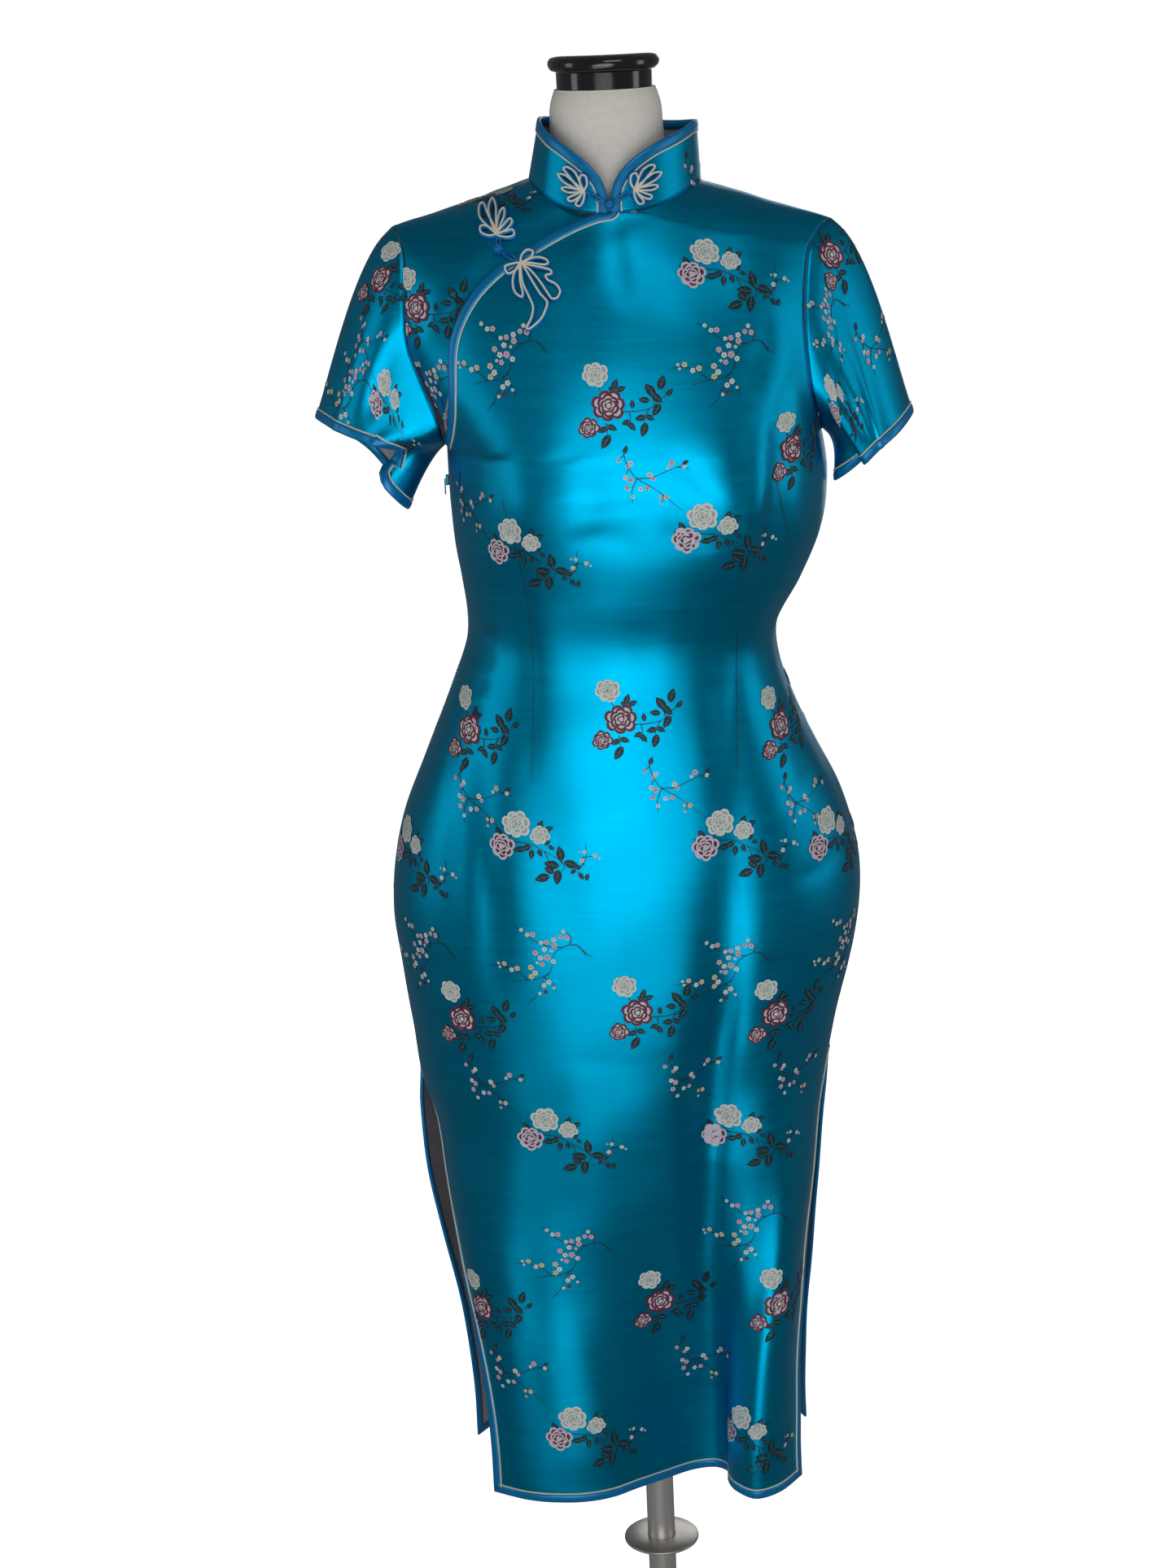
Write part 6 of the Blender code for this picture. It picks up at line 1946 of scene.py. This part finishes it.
def knotButton(name, node, middle, out):
    # A ball knot: a core with cord wrapped over it three ways.
    bm = bmesh.new()
    bmesh.ops.create_uvsphere(
        bm, u_segments=24, v_segments=16, radius=knot["radius"] * knot["coreShare"])
    bmesh.ops.translate(bm, verts=bm.verts, vec=middle)
    core = newPiece(name + "_core", bm, (blueCord,))
    shadeSoft(core)
    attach(core, "dress_and_form")
    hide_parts(node)
    out = np.array(out)
    side = unit(np.cross(out, (0.0, 0.0, 1.0)))
    up = np.cross(side, out)
    middle = np.array(middle)
    loops = []
    for i in range(knot["wraps"]):
        lean = pi * i / knot["wraps"] + knot["twist"]
        axis = side * cos(lean) + up * sin(lean)
        first = unit(np.cross(axis, out))
        for shift in (-knot["apart"], knot["apart"]):
            ring = sqrt((knot["radius"] * knot["wrapShare"]) ** 2 - shift**2)
            loops.append(np.array([
                middle + axis * shift + (first * cos(a) + out * sin(a)) * ring
                for a in np.linspace(0, 2 * pi, knot["steps"], endpoint=False)]))
    cordPiece(name + "_wraps", loops, knot["cord"], blueCord, sides=2)


knotSpot, knotOut = chestSpot(*knot["placket"])
knotButton("placket_knot", "knot_placket", knotSpot + knotOut * knot["lift"], knotOut)
collarFace = collarOut(0, knot["collarHeight"])
knotButton("collar_knot", "knot_collar",
           collarPoint(0, knot["collarHeight"]) + collarFace * knot["collarLift"], collarFace)


def linkCord(name, start, end, out, trees, bow):
    # The two cords between a frog's hub and the knot that it closes on.
    tubes = []
    side = unit(np.cross(end - start, out))
    for shift in (-1, 1):
        middle = (start + end) / 2 + side * shift * bow
        line = smoothLoop((start, middle, end), steps=5, closed=False)
        tubes.append(layAlong(trees, line, [out] * len(line), link["lift"]))
    cordPiece(name, tubes, link["cord"], blueCord, closed=False, sides=2)


for name, hub in (("placket_link_lower", frog["lowerHub"]),
                  ("placket_link_upper", frog["upperHub"])):
    linkCord(name, chestSpot(*hub)[0], knotSpot, knotOut, chestTrees, link["chestBow"])
for name, side in (("collar_link_right", -1), ("collar_link_left", 1)):
    hub = ((side * frog["collarTurn"]) % 360, frog["collarHeight"])
    linkCord(name, collarPoint(*hub), collarPoint(side % 360, link["collarEnd"]),
             collarOut(*hub), collarTrees, link["collarBow"])
print("frogs and knot buttons made")

# Zip on the wearer's right side seam: coil, slider and pull tab
zipSide = {"top": 1.1560, "bottom": 0.9500, "pitch": 0.0016, "tooth": (0.0012, 0.0022, 0.0009),
           "sliderZ": 1.160, "wide": 0.0055, "high": 0.0085, "deep": 0.0026,
           "tabWide": 0.0030, "tabLong": 0.0130, "tabThick": 0.0010, "fit": 0.0003,
           "tabRise": 0.001, "proud": 0.0002, "sway": 0.0004, "tabRim": 0.0007,
           "tabSink": 0.00025, "soft": 0.0006, "tabSoft": 0.0003, "toothSoft": 0.0002}


def bevelEdges(bm, offset, segments):
    bmesh.ops.bevel(
        bm, geom=bm.edges, offset=offset, offset_type="OFFSET", segments=segments, profile=0.5,
        affect="EDGES", material=-1)


def zipCoil():
    # The coil's turns along the side seam, each a little to one side or the other.
    bm = bmesh.new()
    count = int((zipSide["top"] - zipSide["bottom"]) / zipSide["pitch"])
    for i in range(count):
        z = zipSide["bottom"] + i * zipSide["pitch"]
        spot = bodyPoint(-90, z=z)
        sway = zipSide["sway"] if i % 2 else -zipSide["sway"]
        made = bmesh.ops.create_cube(bm, size=1.0)
        bmesh.ops.scale(bm, verts=made["verts"], vec=zipSide["tooth"])
        bmesh.ops.translate(
            bm, verts=made["verts"], vec=(spot[0] + zipSide["proud"], spot[1] + sway, z))
    bevelEdges(bm, zipSide["toothSoft"], 1)
    coil = newPiece("zip_coil", bm, (zipPaint,))
    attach(coil, "dress_and_form")


def roundedBlock(name, size, middle, bevel, body, node, rim=None):
    # A block with soft edges. With a rim, its two flat faces are sunk inside that.
    bm = bmesh.new()
    bmesh.ops.create_cube(bm, size=1.0)
    bmesh.ops.scale(bm, verts=bm.verts, vec=size)
    bmesh.ops.translate(bm, verts=bm.verts, vec=middle)
    bevelEdges(bm, bevel, 3)
    if rim:
        faces = [face for face in bm.faces if abs(face.normal.x) > 0.99]
        bmesh.ops.inset_individual(bm, faces=faces, thickness=rim, depth=-zipSide["tabSink"])
    piece = newPiece(name, bm, (zipPaint,))
    shadeSoft(piece)
    piece.data.set_sharp_from_angle(angle=radians(sharpFrom))
    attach(piece, body)
    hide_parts(node)


zipPaint = metalMaterial(
    "zipPaint", (0.0, 0.16, 0.24), (0.01, 0.24, 0.34), 0.34, 0.5, (60.0, 60.0, 60.0))
zipCoil()
seam = bodyPoint(-90, z=zipSide["sliderZ"])
sliderFace = seam[0] - cloth["seamGap"] - zipSide["deep"] / 2
roundedBlock(
    "slider_body", (zipSide["deep"], zipSide["wide"], zipSide["high"]),
    (sliderFace, 0.0, zipSide["sliderZ"]), zipSide["soft"], "dress_and_form", "zip_slider")
tabX = sliderFace - zipSide["deep"] / 2 - zipSide["fit"] - zipSide["tabThick"] / 2
roundedBlock(
    "pull_tab_plate", (zipSide["tabThick"], zipSide["tabWide"], zipSide["tabLong"]),
    (tabX, 0.0, zipSide["sliderZ"] + zipSide["tabRise"] - zipSide["tabLong"] / 2),
    zipSide["tabSoft"],
    "pull_tab", "zip_pull_tab", rim=zipSide["tabRim"])
print("zip made")

# Painted seam shadows and stitches on the front and back, as x, z lines seen from the front
dartLines = (
    ((-0.0930, 1.1600), (-0.0830, 1.1130), (-0.0770, 1.0670), (-0.0760, 1.0100), (-0.0810, 0.9300)),
    ((0.0900, 1.0480), (0.0870, 1.0000), (0.0850, 0.9300)),
    ((0.1220, 1.1660), (0.1280, 1.1350), (0.1340, 1.1000)),
)
backDartLines = (
    ((-0.0770, 1.1300), (-0.0740, 1.0500), (-0.0780, 0.9300)),
    ((0.0770, 1.1300), (0.0750, 1.0500), (0.0790, 0.9300)),
)
zipStitchLines = (
    ((-0.1290, 1.0500), (-0.1250, 1.0200), (-0.1330, 0.9900), (-0.1490, 0.9500), (-0.1620, 0.9200)),
)
# Stitch sizes and spacing. The seam width and step belong to the dark strip of painted seam shadow
# along a dart
stitch = {"pitch": 0.0032, "long": 0.0020, "wide": 0.00042, "seam": 0.00050, "beside": 0.0013,
          "seamShadeStep": 0.004, "look": 0.001, "lifts": (0.00012, 0.00022)}
stitchThread = silkThread("stitchThread", (0.0, 0.10, 0.16), (0.0, 0.17, 0.25))
# Dark colour for the strip of painted seam shadow, made with the streaked silk shader
seamShade = silkThread("seamShade", (0.0, 0.035, 0.055), (0.0, 0.06, 0.09))


def sewLine(bm, panel, line, behind, withSeamShade):
    # A row of stitches beside a seam line, lying flat on the cloth, and on request a dark strip of
    # painted seam shadow along the line.
    flat = [flatAt(panel, x, z, behind) for x, z in line]
    spots = [spot for spot in flat if spot]
    rows = smoothLoop(spots, steps=10, closed=False)
    lengths = np.concatenate(((0.0,), np.cumsum(np.linalg.norm(np.diff(rows, axis=0), axis=1))))
    reads = [(length, *spot) for length, spot in zip(lengths, rows)]

    def strip(start, end, shift, width, index, steps):
        made = bmesh.ops.create_grid(bm, x_segments=steps, y_segments=1, size=0.5)
        for vertex in made["verts"]:
            at = start + (vertex.co.x + 0.5) * (end - start)
            s, t = curveThrough(reads, at)
            aheadS, aheadT = curveThrough(reads, min(at + stitch["look"], lengths[-1]))
            backS, backT = curveThrough(reads, max(at - stitch["look"], 0.0))
            run = hypot(aheadS - backS, aheadT - backT)
            across = shift + vertex.co.y * width
            s -= (aheadT - backT) / run * across
            t += (aheadS - backS) / run * across
            place, out = onCloth(panel, s, t) or onCloth(panel, *spots[len(spots) // 2])
            vertex.co = place + out * stitch["lifts"][index]
        for face in {face for vertex in made["verts"] for face in vertex.link_faces}:
            face.material_index = index

    # A dark strip along the seam line: painted seam shadow
    if withSeamShade:
        strip(0.0, lengths[-1], 0.0, stitch["seam"], 0, int(lengths[-1] / stitch["seamShadeStep"]))
    count = int(lengths[-1] / stitch["pitch"])
    for i in range(count):
        start = i * stitch["pitch"]
        strip(start, start + stitch["long"], stitch["beside"], stitch["wide"], 1, 1)


def stitchPiece(name, panel, lines, behind, withSeamShade=True):
    bm = bmesh.new()
    for line in lines:
        sewLine(bm, panel, line, behind, withSeamShade)
    bm.normal_update()
    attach(newPiece(name, bm, (seamShade, stitchThread)), "dress_and_form")


stitchPiece("front_dart_stitches", frontPanel, dartLines, False)
stitchPiece("back_dart_stitches", backPanel, backDartLines, True)
stitchPiece("zip_stitches", frontPanel, zipStitchLines, False, withSeamShade=False)
print("stitches sewn")
# Round floor and wall, soft lights and camera
studio = {"white": (0.86, 0.86, 0.86, 1.0), "glow": 0.97, "world": 0.14, "reach": 7.0,
          "wall": 9.0, "sides": 64}

# Soft lights: name, place, aim, width and height, power
softLights = (
    ("front_window", (-0.1, -3.0, 0.72), (0.0, 0.0, 0.95), (2.2, 0.90), 20.5),
    ("bust_window", (0.1, -3.0, 1.56), (0.0, 0.0, 1.2), (1.6, 0.4), 6.5),
    ("floor_bounce", (-0.1, -2.05, 0.03), (0.0, -1.9, 1.2), (1.7, 0.8), 9.0),
    ("high_fill", (0.6, -1.6, 3.0), (0.0, 0.0, 1.2), (1.2, 0.8), 6.5),
    ("right_fill", (-2.4, -0.6, 1.4), (0.0, 0.0, 1.0), (0.7, 1.8), 6.0),
    ("back_fill", (0.4, 2.6, 1.3), (0.0, 0.0, 0.9), (1.6, 1.6), 12.0),
    ("left_fill", (2.4, -0.4, 1.4), (0.0, 0.0, 1.0), (0.7, 1.8), 6.0),
)


def stagePiece(name, bm):
    # Part of the set. It shows to the camera and lights nothing.
    piece = newPiece(name, bm, (stageWhite,))
    piece.visible_glossy = False
    piece.visible_diffuse = False
    return piece


def softBox(name, place, aim, size, power):
    light = bpy.data.lights.new(name, "AREA")
    light.shape = "RECTANGLE"
    light.size, light.size_y = size
    light.energy = power
    lamp = bpy.data.objects.new(name, light)
    lamp.location = place
    lamp.rotation_euler = (Vector(aim) - Vector(place)).to_track_quat("-Z", "Y").to_euler()
    lamp.visible_camera = False
    bpy.context.scene.collection.objects.link(lamp)


stageWhite, _, _, stageShader = newMaterial("stageWhite")
setInputs(stageShader, {
    "Base Color": studio["white"], "Roughness": 0.9, "Emission Color": (1.0, 1.0, 1.0, 1.0),
    "Emission Strength": studio["glow"]})
floorMesh = bmesh.new()
bmesh.ops.create_circle(
    floorMesh, cap_ends=True, radius=studio["reach"], segments=studio["sides"])
stagePiece("studio_floor", floorMesh)
wallMesh = bmesh.new()
bmesh.ops.create_cone(
    wallMesh, cap_ends=False, segments=studio["sides"], radius1=studio["reach"],
    radius2=studio["reach"], depth=studio["wall"])
bmesh.ops.translate(wallMesh, verts=wallMesh.verts, vec=(0.0, 0.0, studio["wall"] / 2))
stagePiece("studio_wall", wallMesh).visible_shadow = False

world = bpy.data.worlds.new("studioWorld")
world.use_nodes = True
setInputs(world.node_tree.nodes["Background"],
          {"Color": (0.80, 0.82, 0.85, 1.0), "Strength": studio["world"]})
bpy.context.scene.world = world
for values in softLights:
    softBox(*values)

cameraView = {"place": (0.0, -2.41, 1.595), "yaw": -0.88, "tilt": 16.15, "roll": -2.5,
              "lens": 68.6}
camera = bpy.data.cameras.new("photo_view")
camera.lens = cameraView["lens"]
camera.sensor_width = 36.0
view = bpy.data.objects.new("photo_view", camera)
turn = (
    Matrix.Rotation(radians(-cameraView["yaw"]), 4, "Z")
    @ Matrix.Rotation(radians(90 - cameraView["tilt"]), 4, "X")
    @ Matrix.Rotation(radians(cameraView["roll"]), 4, "Z"))
view.matrix_world = Matrix.Translation(cameraView["place"]) @ turn
bpy.context.scene.collection.objects.link(view)
bpy.context.scene.camera = view
bpy.context.scene.view_settings.view_transform = "Standard"
print("stage, lights and camera set")
